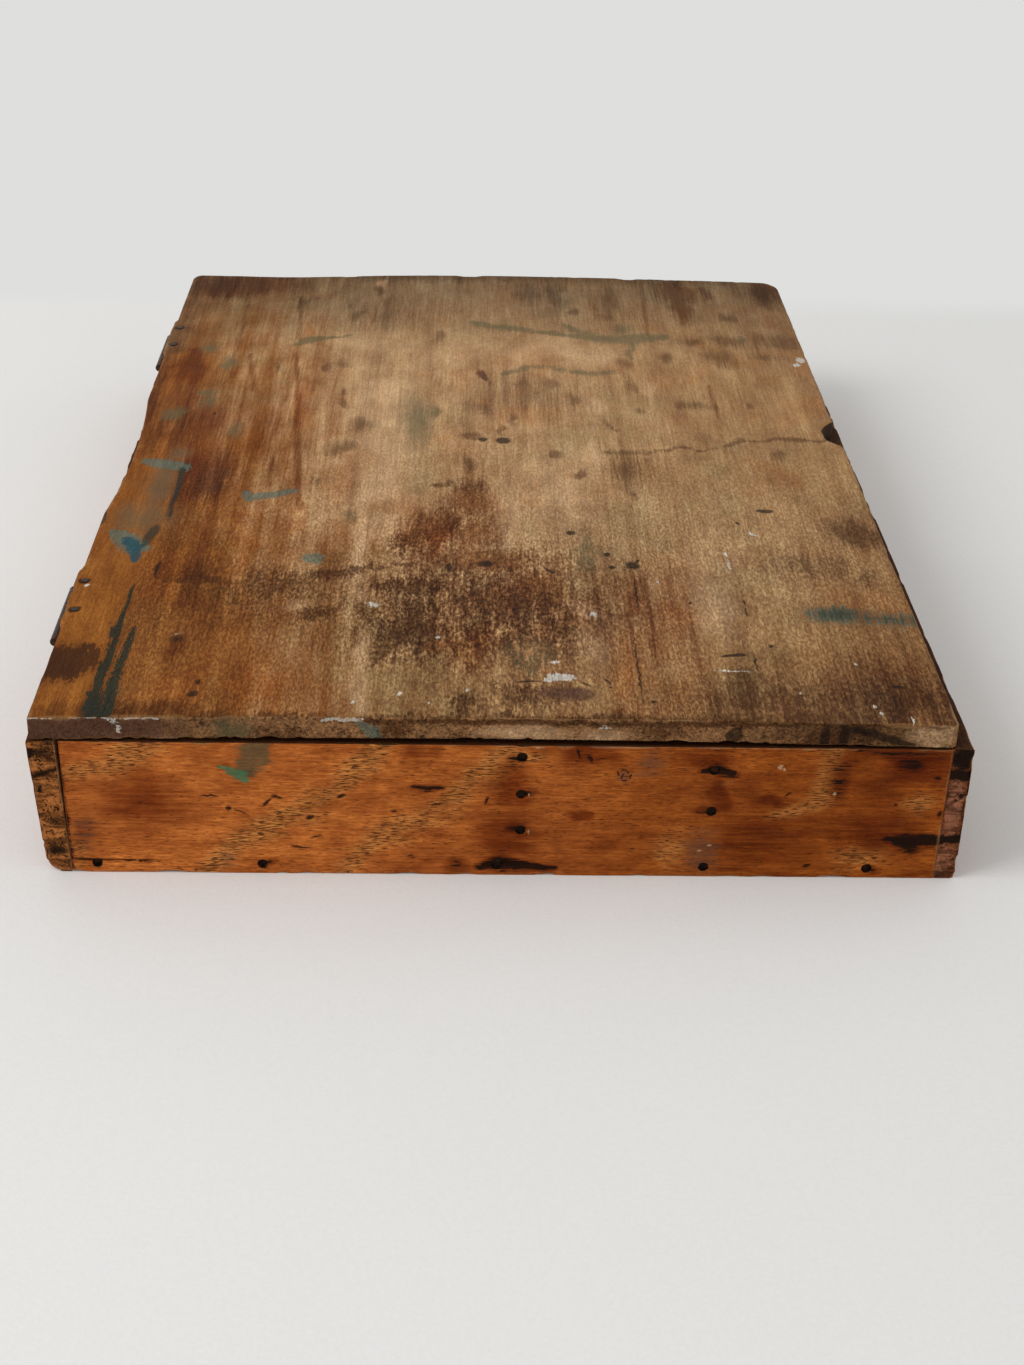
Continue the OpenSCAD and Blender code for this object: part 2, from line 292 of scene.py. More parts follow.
room = bpy.data.worlds.new("room")
bpy.context.scene.world = room
room.use_nodes = True
air = Nodes(room.node_tree)
ray = air.add("ShaderNodeLightPath", {}, {}, "Is Camera Ray")
shown = ray | ray.other("Is Transmission Ray") | ray.other("Is Glossy Ray")
unseen_level = FILL_LIGHT / WALL_COLOUR[0]
level = air.add("ShaderNodeMapRange", {}, {"Value": shown, "To Min": unseen_level, "To Max": 1.0})
glow = room.node_tree.nodes["Background"]
air.link(glow.inputs["Strength"], level)
air.link(glow.inputs["Color"], WALL_COLOUR)
print("sheet fades out", SHEET_FADE, "mm behind the middle, fill light", FILL_LIGHT)


# %% Lamp
def soft_lamp(name, at, watts, wide):
    lamp = bpy.data.lights.new(name, "AREA")
    lamp.energy, lamp.size = watts, wide
    holder = bpy.data.objects.new(name, lamp)
    holder.location = at
    holder.rotation_euler = (-Vector(at)).to_track_quat("-Z", "Y").to_euler()
    bpy.context.collection.objects.link(holder)
    print(name, watts, "W,", wide, "m wide")


soft_lamp("window", at=(-1.5, -0.55, 1.45), watts=21.0, wide=1.1)

# %% [markdown]
# ## Boards from lines
#
# A sawn board is a box, but a worn one has no straight arris left. A plain box with a bevel would be too
# even. So each board is a skin of quads laid over crossing grid lines, close together at the arrises and
# round the nails. Every later step only moves those points: rounding, chips, dents, warp. The six faces
# also get their own place in a flat map, which keeps the finish sharp when it is baked.

# %% Noise on points
SCRAMBLE = np.array([73856093, 19349663, 83492791])


def ease(part):
    """A soft step from 0 to 1."""
    part = np.clip(part, 0, 1)
    return part * part * (3 - 2 * part)


def lumps(points, size, seed):
    """Smooth noise from -1 to 1 at points in mm, in lumps of that size, one number or one for each axis."""
    spots = points / np.array(size, float)
    cells = np.floor(spots).astype(np.int64)
    soft = ease(spots - cells)
    total = np.zeros(len(points))
    for corner in product((0, 1), repeat=3):
        # Each corner of a cell gets a number that only its place and the seed decide.
        key = (cells + corner) @ SCRAMBLE + seed * 2654435
        key = (key ^ (key >> 13)) * 1274126177 & 0xFFFFFFFF
        share = np.prod(np.where(corner, soft, 1 - soft), axis=1)
        total += share * (((key ^ (key >> 16)) & 0xFFFF) / 32767.5)
    return total - 1


RIM_LINES = np.array([0, 0.12, 0.3, 0.55, 0.9, 1.4, 2.1])
NAIL_LINES = np.array([-2.2, -1.6, -1.3, -1.12, -0.8, -0.4, 0, 0.4, 0.8, 1.12, 1.3, 1.6, 2.2])
CUT_LINES = np.array([-0.04, 0.04])
LEAST_GAP = 0.06


def lines(low, high, step, nails=(), pairs=()):
    """Grid lines across a board: crowded at its rims and nails, and doubled where a cut has a sharp rim."""
    rim = RIM_LINES[-1]
    inner = np.linspace(low + rim, high - rim, max(2, round((high - low - 2 * rim) / step) + 1))
    wanted = [low + RIM_LINES, high - RIM_LINES, inner]
    wanted += [nail + NAIL_LINES for nail in nails] + [cut + CUT_LINES for cut in pairs]
    wanted = np.sort(np.concatenate(wanted))
    wanted = wanted[(wanted >= low) & (wanted <= high)]
    return wanted[np.append(True, np.diff(wanted) > LEAST_GAP)]


print("grid lines start", RIM_LINES.tolist(), "mm from each rim")


# %% The board class
ALONG_X, ALONG_Y, UPRIGHT = 0, 1, 2
LOW, HIGH = 0, 1
MAP_GAP = 2.0


class Board:
    """A closed skin of quads, in mm. flat has the sawn places of its points, and at the worn ones."""

    def __init__(self, xs, ys, zs, grain):
        grid = [np.asarray(axis) for axis in (xs, ys, zs)]
        skin = np.ones([len(axis) for axis in grid], bool)
        skin[1:-1, 1:-1, 1:-1] = False
        number = np.full(skin.shape, -1)
        number[skin] = np.arange(skin.sum())
        spots = np.argwhere(skin)
        self.flat = np.stack([axis[spots[:, i]] for i, axis in enumerate(grid)], 1)
        self.at = self.flat.copy()
        self.low, self.high, self.grain = self.flat.min(0), self.flat.max(0), grain
        self.chipped, self.nailed = np.zeros(len(self.flat)), np.zeros(len(self.flat))
        quads, maps, shelf = [], [], 0.0
        for axis, end in product(range(3), (0, -1)):
            layer = np.take(number, end, axis=axis)
            ring = [layer[:-1, :-1], layer[1:, :-1], layer[1:, 1:], layer[:-1, 1:]]
            ring = np.stack(ring, -1).reshape(-1, 4)
            if (axis == ALONG_Y) == (end == -1):
                ring = ring[:, ::-1]
            sides = sorted((a for a in range(3) if a != axis), key=lambda a: self.low[a] - self.high[a])
            spread = self.flat[ring][:, :, sides] - self.low[sides]
            quads.append(ring)
            maps.append(spread + (0, shelf))
            shelf += self.high[sides[1]] - self.low[sides[1]] + MAP_GAP
        self.quads = np.concatenate(quads)
        self.map = np.concatenate(maps)
        self.map /= self.map.max() + 1

    def on(self, axis, end):
        """Which points lie on the face at the LOW or HIGH end of an axis."""
        return self.flat[:, axis] == (self.low, self.high)[end][axis]

    def sink(self, axis, end, depth):
        """Press a face inwards by a depth in mm, one number or one for each point."""
        self.at[:, axis] += np.where(self.on(axis, end), depth, 0) * (1 - 2 * end)

    def rim(self):
        """How far each point was from the nearest arris of the sawn board."""
        return np.sort(np.minimum(self.flat - self.low, self.high - self.flat), axis=1)[:, 1]

    def round_arrises(self, radius):
        """Round all arrises to a radius in mm, one number or one for each point."""
        radius = np.broadcast_to(radius, len(self.flat))[:, None]
        core = np.clip(self.flat, self.low + radius, self.high - radius)
        out = self.flat - core
        self.at = core + out * radius / np.linalg.norm(out, axis=1)[:, None]


print("a board keeps sawn and worn places side by side")


# %% Chips, dents and nail holes
BARE_DEPTH = 0.25


def chip(board, along, corner, facing, middle, half, depth):
    """Break a shallow flake off an arris that runs along an axis through corner."""
    facing = np.array(facing) / np.linalg.norm(facing)
    part = (board.at[:, along] - middle) / half
    bite = depth * np.clip(1 - part**2, 0, None)
    over = np.where(np.abs(part) < 1, (board.at - corner) @ facing + bite, 0).clip(0)
    board.at -= over[:, None] * facing
    board.chipped = np.maximum(board.chipped, np.clip(over / BARE_DEPTH, 0, 1))


def chips(board, along, corner, facing, count, seed, half=(0.8, 3.5), depth=(0.3, 0.8)):
    """Break off several flakes at seeded places along an arris."""
    draw = np.random.default_rng(seed)
    for _ in range(count):
        middle = draw.uniform(board.low[along], board.high[along])
        tilt = np.array(facing) * (1 + 0.5 * draw.uniform(-1, 1, 3))
        chip(board, along, corner, tilt, middle, draw.uniform(*half), draw.uniform(*depth))


DENT_RIM, STEEPEST = 1.06, 0.9


def dent(board, axis, end, middle, size, depth, steep=0.0):
    """Press an elliptic dent into a face; steep 1 gives it nearly upright walls."""
    across = [a for a in range(3) if a != axis]
    reach = np.linalg.norm((board.flat[:, across] - middle) / np.array(size), axis=1)
    board.sink(axis, end, depth * ease((DENT_RIM - reach) / (DENT_RIM - STEEPEST * steep)))


NAIL_HOLE_R = 1.25
NAIL_HOLE_DEPTH = 1.15
NAIL_HOLLOW_R, NAIL_HOLLOW_DEPTH = 3.2, 0.1
NAIL_STAIN_R, NAIL_STAIN_RIM = 1.7, 0.5


def nail_hole(board, axis, end, middle):
    """A hole with upright walls, in a shallow hollow and with a dark stain round it."""
    dent(board, axis, end, middle, (NAIL_HOLE_R,) * 2, NAIL_HOLE_DEPTH, steep=1.0)
    dent(board, axis, end, middle, (NAIL_HOLLOW_R,) * 2, NAIL_HOLLOW_DEPTH)
    across = [a for a in range(3) if a != axis]
    away = np.linalg.norm(board.flat[:, across] - middle, axis=1)
    stained = np.clip((NAIL_STAIN_R - away) / NAIL_STAIN_RIM, 0, 1)
    board.nailed = np.maximum(board.nailed, np.where(board.on(axis, end), stained, 0))


print("nail holes are", NAIL_HOLE_R, "mm in radius")


# %% From board to piece
ARRIS_REACH = 1.1


def piece(name, board, material, body, node, carried=None):
    """Turn a board into a mesh object that rides on a body and stands for a packed node."""
    mesh = bpy.data.meshes.new(name)
    mesh.from_pydata((board.at * MM).tolist(), [], board.quads.tolist())
    mesh.polygons.foreach_set("use_smooth", np.ones(len(board.quads), bool))
    mesh.uv_layers.new(name="OFBake").data.foreach_set("uv", board.map.ravel().astype(np.float32))
    wear = {
        "arris": np.exp(-((board.rim() / ARRIS_REACH) ** 2)),
        "chipped": board.chipped,
        "nailed": board.nailed,
        "end_grain": (board.on(board.grain, LOW) | board.on(board.grain, HIGH)).astype(float),
        "up": board.on(UPRIGHT, HIGH).astype(float),
    }
    for label, values in {**wear, **(carried or {})}.items():
        mesh.attributes.new(label, "FLOAT", "POINT").data.foreach_set("value", values.astype(np.float32))
    mesh.materials.append(material)
    board_object = bpy.data.objects.new(name, mesh)
    bpy.context.collection.objects.link(board_object)
    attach(board_object, body)
    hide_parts(node)
    print(name, len(board.quads), "quads on", body)


print("a piece carries how near an arris lies, up to about", ARRIS_REACH, "mm")

# %% [markdown]
# ## Marks
#
# Dried paint, stains and scratches are what make this box this box, and they sit in known places. A picture
# could be laid over the boards, but it would only be as sharp as its pixels. Here each mark is a blot,
# which is a turned ellipse, or a stroke along a path, and its name says where it lies or what it may be.
# Most are worked out once for every point of a board and carried by its mesh, on coordinates that wander,
# so that their outline is as irregular as a real one. The finish adds the fine ragged rim.

# %% Blots and strokes
Blot = namedtuple("Blot", "name at size turn strength", defaults=(0, 1.0))
Stroke = namedtuple("Stroke", "name path widths strength", defaults=(1.0,))


def within(places, mark):
    """How deep places lie in a mark: its strength in the middle, 0 at its rim, less outside."""
    if isinstance(mark, Blot):
        cos, sin = np.cos(np.radians(mark.turn)), np.sin(np.radians(mark.turn))
        local = (places - mark.at) @ np.array([[cos, -sin], [sin, cos]]) / mark.size
        return mark.strength * (1 - np.linalg.norm(local, axis=1))
    path, depth = np.array(mark.path, float), np.full(len(places), -1.0)
    for start, stop, wide, narrow in zip(path, path[1:], mark.widths, mark.widths[1:]):
        run = stop - start
        part = np.clip((places - start) @ run / (run @ run), 0, 1)
        away = np.linalg.norm(places - start - part[:, None] * run, axis=1)
        depth = np.maximum(depth, 1 - away / (wide + part * (narrow - wide)))
    return mark.strength * depth


def cover(places, several, reach, size, seed):
    """The deepest of several marks at each place; their rims wander by reach mm, in lumps of a size."""
    flat = np.column_stack([places, np.zeros(len(places))])
    wander = [lumps(flat, size, seed + i) + 0.5 * lumps(flat, size / 2.3, seed + i + 2) for i in (0, 1)]
    bent = places + reach * np.stack(wander, 1)
    return np.clip(np.max([within(bent, mark) for mark in several], axis=0), -1, None)


def carry(carried, board, chosen, axes, layers, seed):
    """Work out layers of marks on chosen points of a board, and add them to what its mesh will carry."""
    for number, (name, (several, reach, size)) in enumerate(layers.items()):
        values = carried.setdefault(name, np.full(len(board.at), -1.0))
        if several:
            values[chosen] = cover(board.at[chosen][:, axes], several, reach, size, seed + 7 * number)


print("a stroke one mm wide covers", within(np.zeros((1, 2)), Stroke("line", [(-1, 0), (1, 0)], [1, 1]))[0])


# %% Small crisp marks
FACE_AXES = {"top": (0, 1), "front": (0, 2), "side": (1, 2)}


def on_face(face, across, up):
    """A vector with two of its numbers on the axes of a face."""
    vector = [0.0, 0.0, 0.0]
    vector[FACE_AXES[face][0]], vector[FACE_AXES[face][1]] = across, up
    return vector


def crisp(finish, place, face, blots):
    """The same cover as a sum in the finish, for blots that are finer than the points of a board."""
    across, up = FACE_AXES[face]
    parts = finish.add("ShaderNodeSeparateXYZ", {}, {0: place})
    swapped = finish.add("ShaderNodeCombineXYZ", {}, {across: parts.other(up), up: parts.other(across)})
    cover = None
    for blot in blots:
        cos, sin = np.cos(np.radians(blot.turn)), np.sin(np.radians(blot.turn))
        (x, y), (wide, high) = blot.at, blot.size
        local = on_face(face, -(cos * x + sin * y) / wide, (sin * x - cos * y) / high)
        if blot.turn:
            slant = on_face(face, sin / wide, -sin / high)
            local = finish.vector("MULTIPLY_ADD", swapped, slant, local)
        straight = on_face(face, cos / wide, cos / high)
        local = finish.vector("MULTIPLY_ADD", place, straight, local)
        reach = finish.vector("LENGTH", local, output="Value")
        sockets = {"Value": reach, "To Min": blot.strength, "To Max": 0.0}
        here = finish.add("ShaderNodeMapRange", {"clamp": False}, sockets)
        cover = here if cover is None else cover | here
    return cover


print("marks can be drawn on the faces:", ", ".join(FACE_AXES))

# %% [markdown]
# ## The shape of the lid
#
# The lid is one wide board that has cupped: its middle stands higher than its long edges. Its hinge edge is
# worn hollow, a thumb-wide notch is cut in the free edge, and the far corners are rubbed round. All of that
# is a matter of moving points sideways or upwards, so the grid bends with it and no part has to be cut out.

# %% Outline of the lid
lid_low, lid_high = node_box("lid_board")
LID_T, LID_CROWN = 7.0, 1.5
LID_RIGHT_AT_BACK = 119.5
HOLLOW = {"y": -6.0, "half": 55.0, "depth": 3.4}
NOTCH = {"x": 129.22, "y": 18.0, "r": 14.0}
BACK_DIP = {"x": -82.0, "half": 34.0, "depth": 3.6, "fade": 40.0}
BACK_LEFT_R, BACK_RIGHT_R, FRONT_RIGHT_R = 4.5, 8.0, 2.5
HINGE_Y, HINGE_HALF = (-109.0, 105.0), 16.05
LEAF_RIM_X, LEAF_T = -120.4, 1.03
HINGE_EDGE_WEAR, HINGE_EDGE_FADE, LEAF_FADE = 0.9, 1.2, 1.5
EDGE_SHARE = 0.3
SCREW_X, SCREW_Y = -123.7, (-118.0, -100.0, 96.0, 114.0)


def corner_inset(y, start, radius):
    """How far a round corner draws an edge in, from where the corner starts to the end of the board."""
    part = np.clip(np.abs(y - start) * (np.sign(y - start) == np.sign(start)), 0, radius)
    return radius - np.sqrt(radius**2 - part**2)


def lid_left(y):
    """Where the hinge edge lies, in x."""
    sag = (HOLLOW["half"] ** 2 + HOLLOW["depth"] ** 2) / (2 * HOLLOW["depth"])
    bow = np.sqrt(np.clip(sag**2 - (y - HOLLOW["y"]) ** 2, 0, None)) - sag + HOLLOW["depth"]
    near = np.min([np.abs(y - hinge) for hinge in HINGE_Y], axis=0)
    worn = HINGE_EDGE_WEAR * np.clip((near - HINGE_HALF) / HINGE_EDGE_FADE, 0, 1)
    return lid_low[0] + np.maximum(bow, worn) + corner_inset(y, lid_high[1] - BACK_LEFT_R, BACK_LEFT_R)


def lid_right(y):
    """Where the free edge lies, in x."""
    along = (y - lid_low[1]) / (lid_high[1] - lid_low[1])
    edge = lid_high[0] + (LID_RIGHT_AT_BACK - lid_high[0]) * along
    edge = edge - corner_inset(y, lid_high[1] - BACK_RIGHT_R, BACK_RIGHT_R)
    edge = edge - corner_inset(y, lid_low[1] + FRONT_RIGHT_R, FRONT_RIGHT_R)
    away = np.abs(y - NOTCH["y"])
    bite = NOTCH["x"] - np.sqrt(np.clip(NOTCH["r"] ** 2 - away**2, 0, None))
    return np.where(away < NOTCH["r"], np.minimum(edge, bite), edge)


hinge_cuts = [y + half for y in HINGE_Y for half in (-HINGE_HALF, HINGE_HALF)]


def by_hinge(points):
    """Which points lie where a hinge leaf is let in."""
    near = np.min([np.abs(points[:, 1] - y) for y in HINGE_Y], axis=0)
    return (near < HINGE_HALF) & (points[:, 0] < LEAF_RIM_X)


notch_lines = NOTCH["y"] + np.arange(-13, 13.5, 1.0)
fork_lines = np.arange(-112.7, -102, 1.3)
lid = Board(
    np.unique(np.concatenate([lines(lid_low[0], lid_high[0], 1.3, pairs=[LEAF_RIM_X]), fork_lines])),
    np.unique(np.concatenate([lines(lid_low[1], lid_high[1], 2.6, pairs=hinge_cuts), notch_lines])),
    lines(lid_low[2], lid_low[2] + LID_T, 0.9),
    grain=ALONG_Y,
)
print("lid board", len(lid.quads), "quads, notch to x", lid_right(np.array([NOTCH["y"]])).round(1))

# %% Wear of the lid
upper = ease((lid.flat[:, 2] - lid.low[2]) / LID_T)
ragged = lumps(lid.flat, (9, 14, 9), 3)
kept = np.max([ease((HINGE_HALF - np.abs(lid.flat[:, 1] - y)) / LEAF_FADE) for y in HINGE_Y], axis=0)
kept = kept * (lid.flat[:, 0] < LEAF_RIM_X)
lid.round_arrises(0.3 + upper * (0.55 + 0.3 * ragged) * (1 - kept))

FRONT_TOP = (0, lid.low[1], lid.high[2])
chips(lid, ALONG_X, FRONT_TOP, (0, -1, 1.2), count=34, seed=11)
FRONT_FLAKES = (-118, 9, 0.8), (-100, 8, 0.9), (-88, 6, 0.8), (-42, 6, 0.9), (-70, 4, 0.6), (108, 8, 1.0)
for middle, half, depth in FRONT_FLAKES:
    chip(lid, ALONG_X, FRONT_TOP, (0, -1, 1), middle, half, depth)
chips(lid, ALONG_X, (0, lid.low[1], lid.low[2]), (0, -1, -1), count=26, seed=12)
BACK_TOP = (0, lid.high[1], lid.high[2])
chips(lid, ALONG_X, BACK_TOP, (0, 1, 0.8), count=24, seed=13)
BACK_FLAKES = (-10, 7, 1.5), (57, 6, 1.4), (-60, 5, 1.0)
for middle, half, depth in BACK_FLAKES:
    chip(lid, ALONG_X, BACK_TOP, (0, 1, 0.9), middle, half, depth)
HINGE_TOP, FREE_TOP = (lid.low[0], 0, lid.high[2]), (lid.high[0], 0, lid.high[2])
chips(lid, ALONG_Y, HINGE_TOP, (-1, 0, 1), count=22, seed=14, half=(2, 9))
chips(lid, ALONG_Y, FREE_TOP, (1, 0, 1), count=26, seed=15, half=(2, 9), depth=(0.3, 0.9))

broad, fine = lumps(lid.flat, (38, 150, 9), 5), lumps(lid.flat, (4, 50, 9), 6)
lid.sink(UPRIGHT, HIGH, 0.07 * (1 + broad) + 0.03 * (1 + fine))
lid.sink(UPRIGHT, LOW, 0.05 * (1 + lumps(lid.flat, (30, 150, 9), 7)))
for end in (LOW, HIGH):
    pits = np.clip(lumps(lid.flat, (1.3, 9, 1.0), 8 + end), 0, 1) ** 2
    lid.sink(ALONG_Y, end, 0.55 * pits + 0.14 * (1 + lumps(lid.flat, (7, 9, 3), 10 + end)))
SMALL_DENTS, DENT_MARGIN = 40, 6
draw = np.random.default_rng(21)
for _ in range(SMALL_DENTS):
    spot = draw.uniform(lid.low[:2] + DENT_MARGIN, lid.high[:2] - DENT_MARGIN)
    dent(lid, UPRIGHT, HIGH, spot, draw.uniform((1.5, 3), (4, 9)), draw.uniform(0.08, 0.22))
for y in SCREW_Y:
    dent(lid, UPRIGHT, HIGH, (SCREW_X, y), (2.6, 3.4), 0.3)
print("lid worn:", int((lid.chipped > 0.5).sum()), "points on chips")

# %% Warp of the lid
along_x = (lid.flat[:, 0] - lid.low[0]) / (lid.high[0] - lid.low[0])
y_here = np.clip(lid.at[:, 1], lid.low[1], lid.high[1])
lid.at[:, 0] += ease(1 - along_x / EDGE_SHARE) * (lid_left(y_here) - lid.low[0])
lid.at[:, 0] += ease(1 - (1 - along_x) / EDGE_SHARE) * (lid_right(y_here) - lid.high[0])
dip = BACK_DIP["depth"] * np.exp(-(((lid.at[:, 0] - BACK_DIP["x"]) / BACK_DIP["half"]) ** 2))
lid.at[:, 1] -= ease(1 - (lid.high[1] - lid.flat[:, 1]) / BACK_DIP["fade"]) * dip
centre_x = (lid.low[0] + lid.high[0]) / 2
reach_x = (lid.high[0] - lid.low[0]) / 2
lid.at[:, 2] += LID_CROWN * (1 - np.clip((lid.at[:, 0] - centre_x) / reach_x, -1, 1) ** 2)

share_up = (lid.high[2] - lid.flat[:, 2]) / LID_T
lid.at[:, 2] += np.where(by_hinge(lid.flat), LEAF_T * share_up, 0)
print("lid from z", lid.at[:, 2].min().round(2), "to", lid.at[:, 2].max().round(2))

# %% [markdown]
# ## Plain wood
#
# All boards share one recipe, at their own size and colour. Broad streaks and fine fibres run along the
# grain, and short flecks break them up. Where the saw cut across the grain, the fibres end in pits, so the
# same board shows dots and faint arcs on its ends.

# %% Wood recipe
Wood = namedtuple("Wood", "light streak fleck fibre blotch height")
# How wide and how long the patterns are, in mm.
STREAK, FIBRE, FLECK, BLOTCH = (6, 150), (0.8, 16), (0.75, 1.8), (15, 26)


def along(axis, fine, long):
    """Sizes of speckle that is long in the direction of the grain."""
    return tuple(long if a == axis else fine for a in range(3))


def wood(finish, axis, leathery=1.0, streaky=1.15):
    """How light the wood is at each place, with the patterns that make it up and its height in mm."""
    streak = finish.noise(along(axis, *STREAK), 5, 0.65)
    fibre = finish.noise(along(axis, *FIBRE), 3, 0.65)
    fleck = finish.noise(along(axis, *FLECK), 2, 0.55, curl=0.5)
    fleck = finish.band(fleck, 0.30, 0.70)
    blotch = finish.noise(along(axis, *BLOTCH), 5, 0.65)
    light = (1 + (streak - 0.5) * streaky) * (1 + (fibre - 0.5) * 0.9) * (1 + (blotch - 0.5) * 1.2)
    light = light * (1 + (fleck - 0.5) * 0.5 * leathery)
    height = (fibre - 0.5) * 0.08 + (fleck - 0.5) * 0.30 * leathery
    return Wood(light, streak, fleck, fibre, blotch, height)


print("wood in mm, wide and long: streaks", STREAK, "fibres", FIBRE, "flecks", FLECK)

# %% [markdown]
# ## The finish of the lid
#
# The top was varnished once. By the hinges the orange of that varnish is left, and the middle has been
# rubbed to pale tan. Umber has soaked in at the front and made a speckled cloud, and dabs of green, teal
# and white were wiped off a brush here and there. Stains darken the wood and keep its speckle. Paint covers
# it, but breaks up where the fibres stand proud.

# %% Umber on the lid
UMBER_STAIN = [
    Blot("cloud", (-4, -118), (44, 36), 0, 0.55),
    Blot("back left corner", (-112, 166), (20, 22), 0, 0.75),
    Blot("back right corner", (112, 168), (14, 14), 0, 0.6),
    Blot("pits, front left", (-26, -128), (15, 21), 0, 1.15),
    Blot("pits, core", (-33, -138), (6, 12), 0, 1.4),
    Blot("pits, left", (-26, -105), (15, 9), 0, 1.1),
    Blot("pits, right", (9, -117), (15, 22), 15, 0.9),
    Blot("below the pool", (16, -131), (11, 8), 30, 1.0),
    Blot("left of the plume", (-31, -76), (6, 9), 0, 0.9),
    Blot("body of the plume", (-19, -64), (11, 22), -25, 0.35),
    Blot("haze, front left", (-78, -112), (24, 22), 0, 0.45),
    Blot("stem of the plume", (-11, -16), (3, 11), 8, 1.2),
    Blot("lower stem", (-9, -34), (5, 13), 0, 0.7),
    Blot("dash by the plume", (-17, -32.5), (6, 2.2), 4, 1.4),
    Blot("broad smudge", (45, -18), (11, 16), -10, 0.75),
    Blot("its tail", (44, -38), (2.2, 7), 0, 0.9),
    Blot("tooth", (27.5, -22), (3, 6), 0, 1.3),
    Blot("grey spot", (20.5, -6), (2.8, 4.6), 0, 1.4),
    Blot("spot", (51, -7.5), (2.2, 2.6), 0, 1.1),
    Blot("upright", (39.5, 20), (1.9, 5.5), 0, 1.2),
    Blot("left of the black spot", (-9, 8), (3.2, 4), 20, 1.2),
    Blot("over the black spot", (2, 15), (1.6, 7), -5, 1.1),
    Blot("right of it", (7, 23), (1.9, 6), -8, 1.0),
    Blot("brown heart", (27, 43), (5, 11)),
    Blot("haze at the heart", (12, 45), (22, 20), 0, 0.45),
    Blot("under the arc", (20, 56), (4, 6), 0, 1.3),
    Blot("left under the arc", (10, 56), (3, 10), -8, 1.3),
    Blot("drip", (-6, 34), (8, 7), 0, 0.7),
    Blot("small", (51, 33), (3.4, 3.4)),
    Blot("small, right", (74, 38), (6, 5), 0, 0.8),
    Blot("small, next", (67, 39), (4, 4), 0, 0.8),
    Blot("thin", (93, 42), (1.6, 5)),
    Blot("under the drip", (50, 79), (4.5, 7)),
    Blot("pair, left", (50, 56), (3, 12), 0, 0.8),
    Stroke("notch line", [(114, 12), (105, 10), (98, 9.5), (90, 7), (84, 8.5), (78, 3), (70, 1)],
           [2.2, 1.8, 1.4, 1.6, 2.0, 1.4, 1.2], 0.9),
    Stroke("notch line, far", [(70, 1), (58, -1), (48, -3), (38, -4)], [1.3, 1.4, 1.8, 1.2], 0.8),
    Blot("faint upright", (91, -25), (2, 10), 0, 0.8),
    Blot("right smudge", (97, -3), (4, 5), 0, 0.7),
    Blot("right rim", (113, -62), (10, 12), 0, 1.2),
    Blot("right rim, below", (112, -96), (3, 8), 0, 0.8),
    Blot("hook", (-47, 18), (6, 7), -20, 0.8),
    Blot("left of the pale edge", (-54, -3), (5, 9)),
    Blot("left pair", (-56, 47), (2, 7), 12, 1.3),
    Blot("left pair, below", (-54, 36), (1.8, 7), 12, 1.2),
    Blot("squiggle", (-59, -30), (2.4, 4), 0, 0.9),
    Blot("left smudge", (-90, -97), (10, 11), 0, 0.6),
    Stroke("line in it", [(-99, -100), (-84, -101.5)], [2.2, 2.2], 1.2),
    Blot("small left", (-76, -96), (2.8, 3), 0, 1.2),
    Blot("left speckle", (-68, -104), (15, 14), 0, 0.8),
    Blot("dark left of the streak", (-54, -121), (6, 5), 0, 1.3),
    Stroke("slanting line", [(-55, -98), (-48, -96), (-40, -93.5), (-25, -89.5)], [4, 2.4, 1.8, 1.0], 1.2),
    Blot("front left", (-100, -175), (30, 6), 0, 0.9),
    Blot("front middle left", (-60, -179), (36, 4), 0, 1.1),
    Blot("front rim", (30, -179), (95, 4), 0, 1.2),
    Blot("front dark", (-10, -171), (6, 6), 0, 1.1),
    Blot("front, by the crescent", (8, -166), (14, 9), 0, 0.7),
    Blot("front right smudge", (72, -168), (34, 14), 0, 0.8),
    Blot("front right dark", (86, -176), (26, 7), 0, 1.2),
    Blot("front right corner", (106, -164), (24, 18), 0, 0.6),
    Blot("right middle", (92, -86), (16, 10), 0, 0.5),
    Blot("scratch shadow", (70, -158), (12, 10), 0, 0.6),
]
print("umber marks at the front and in the middle:", len(UMBER_STAIN))

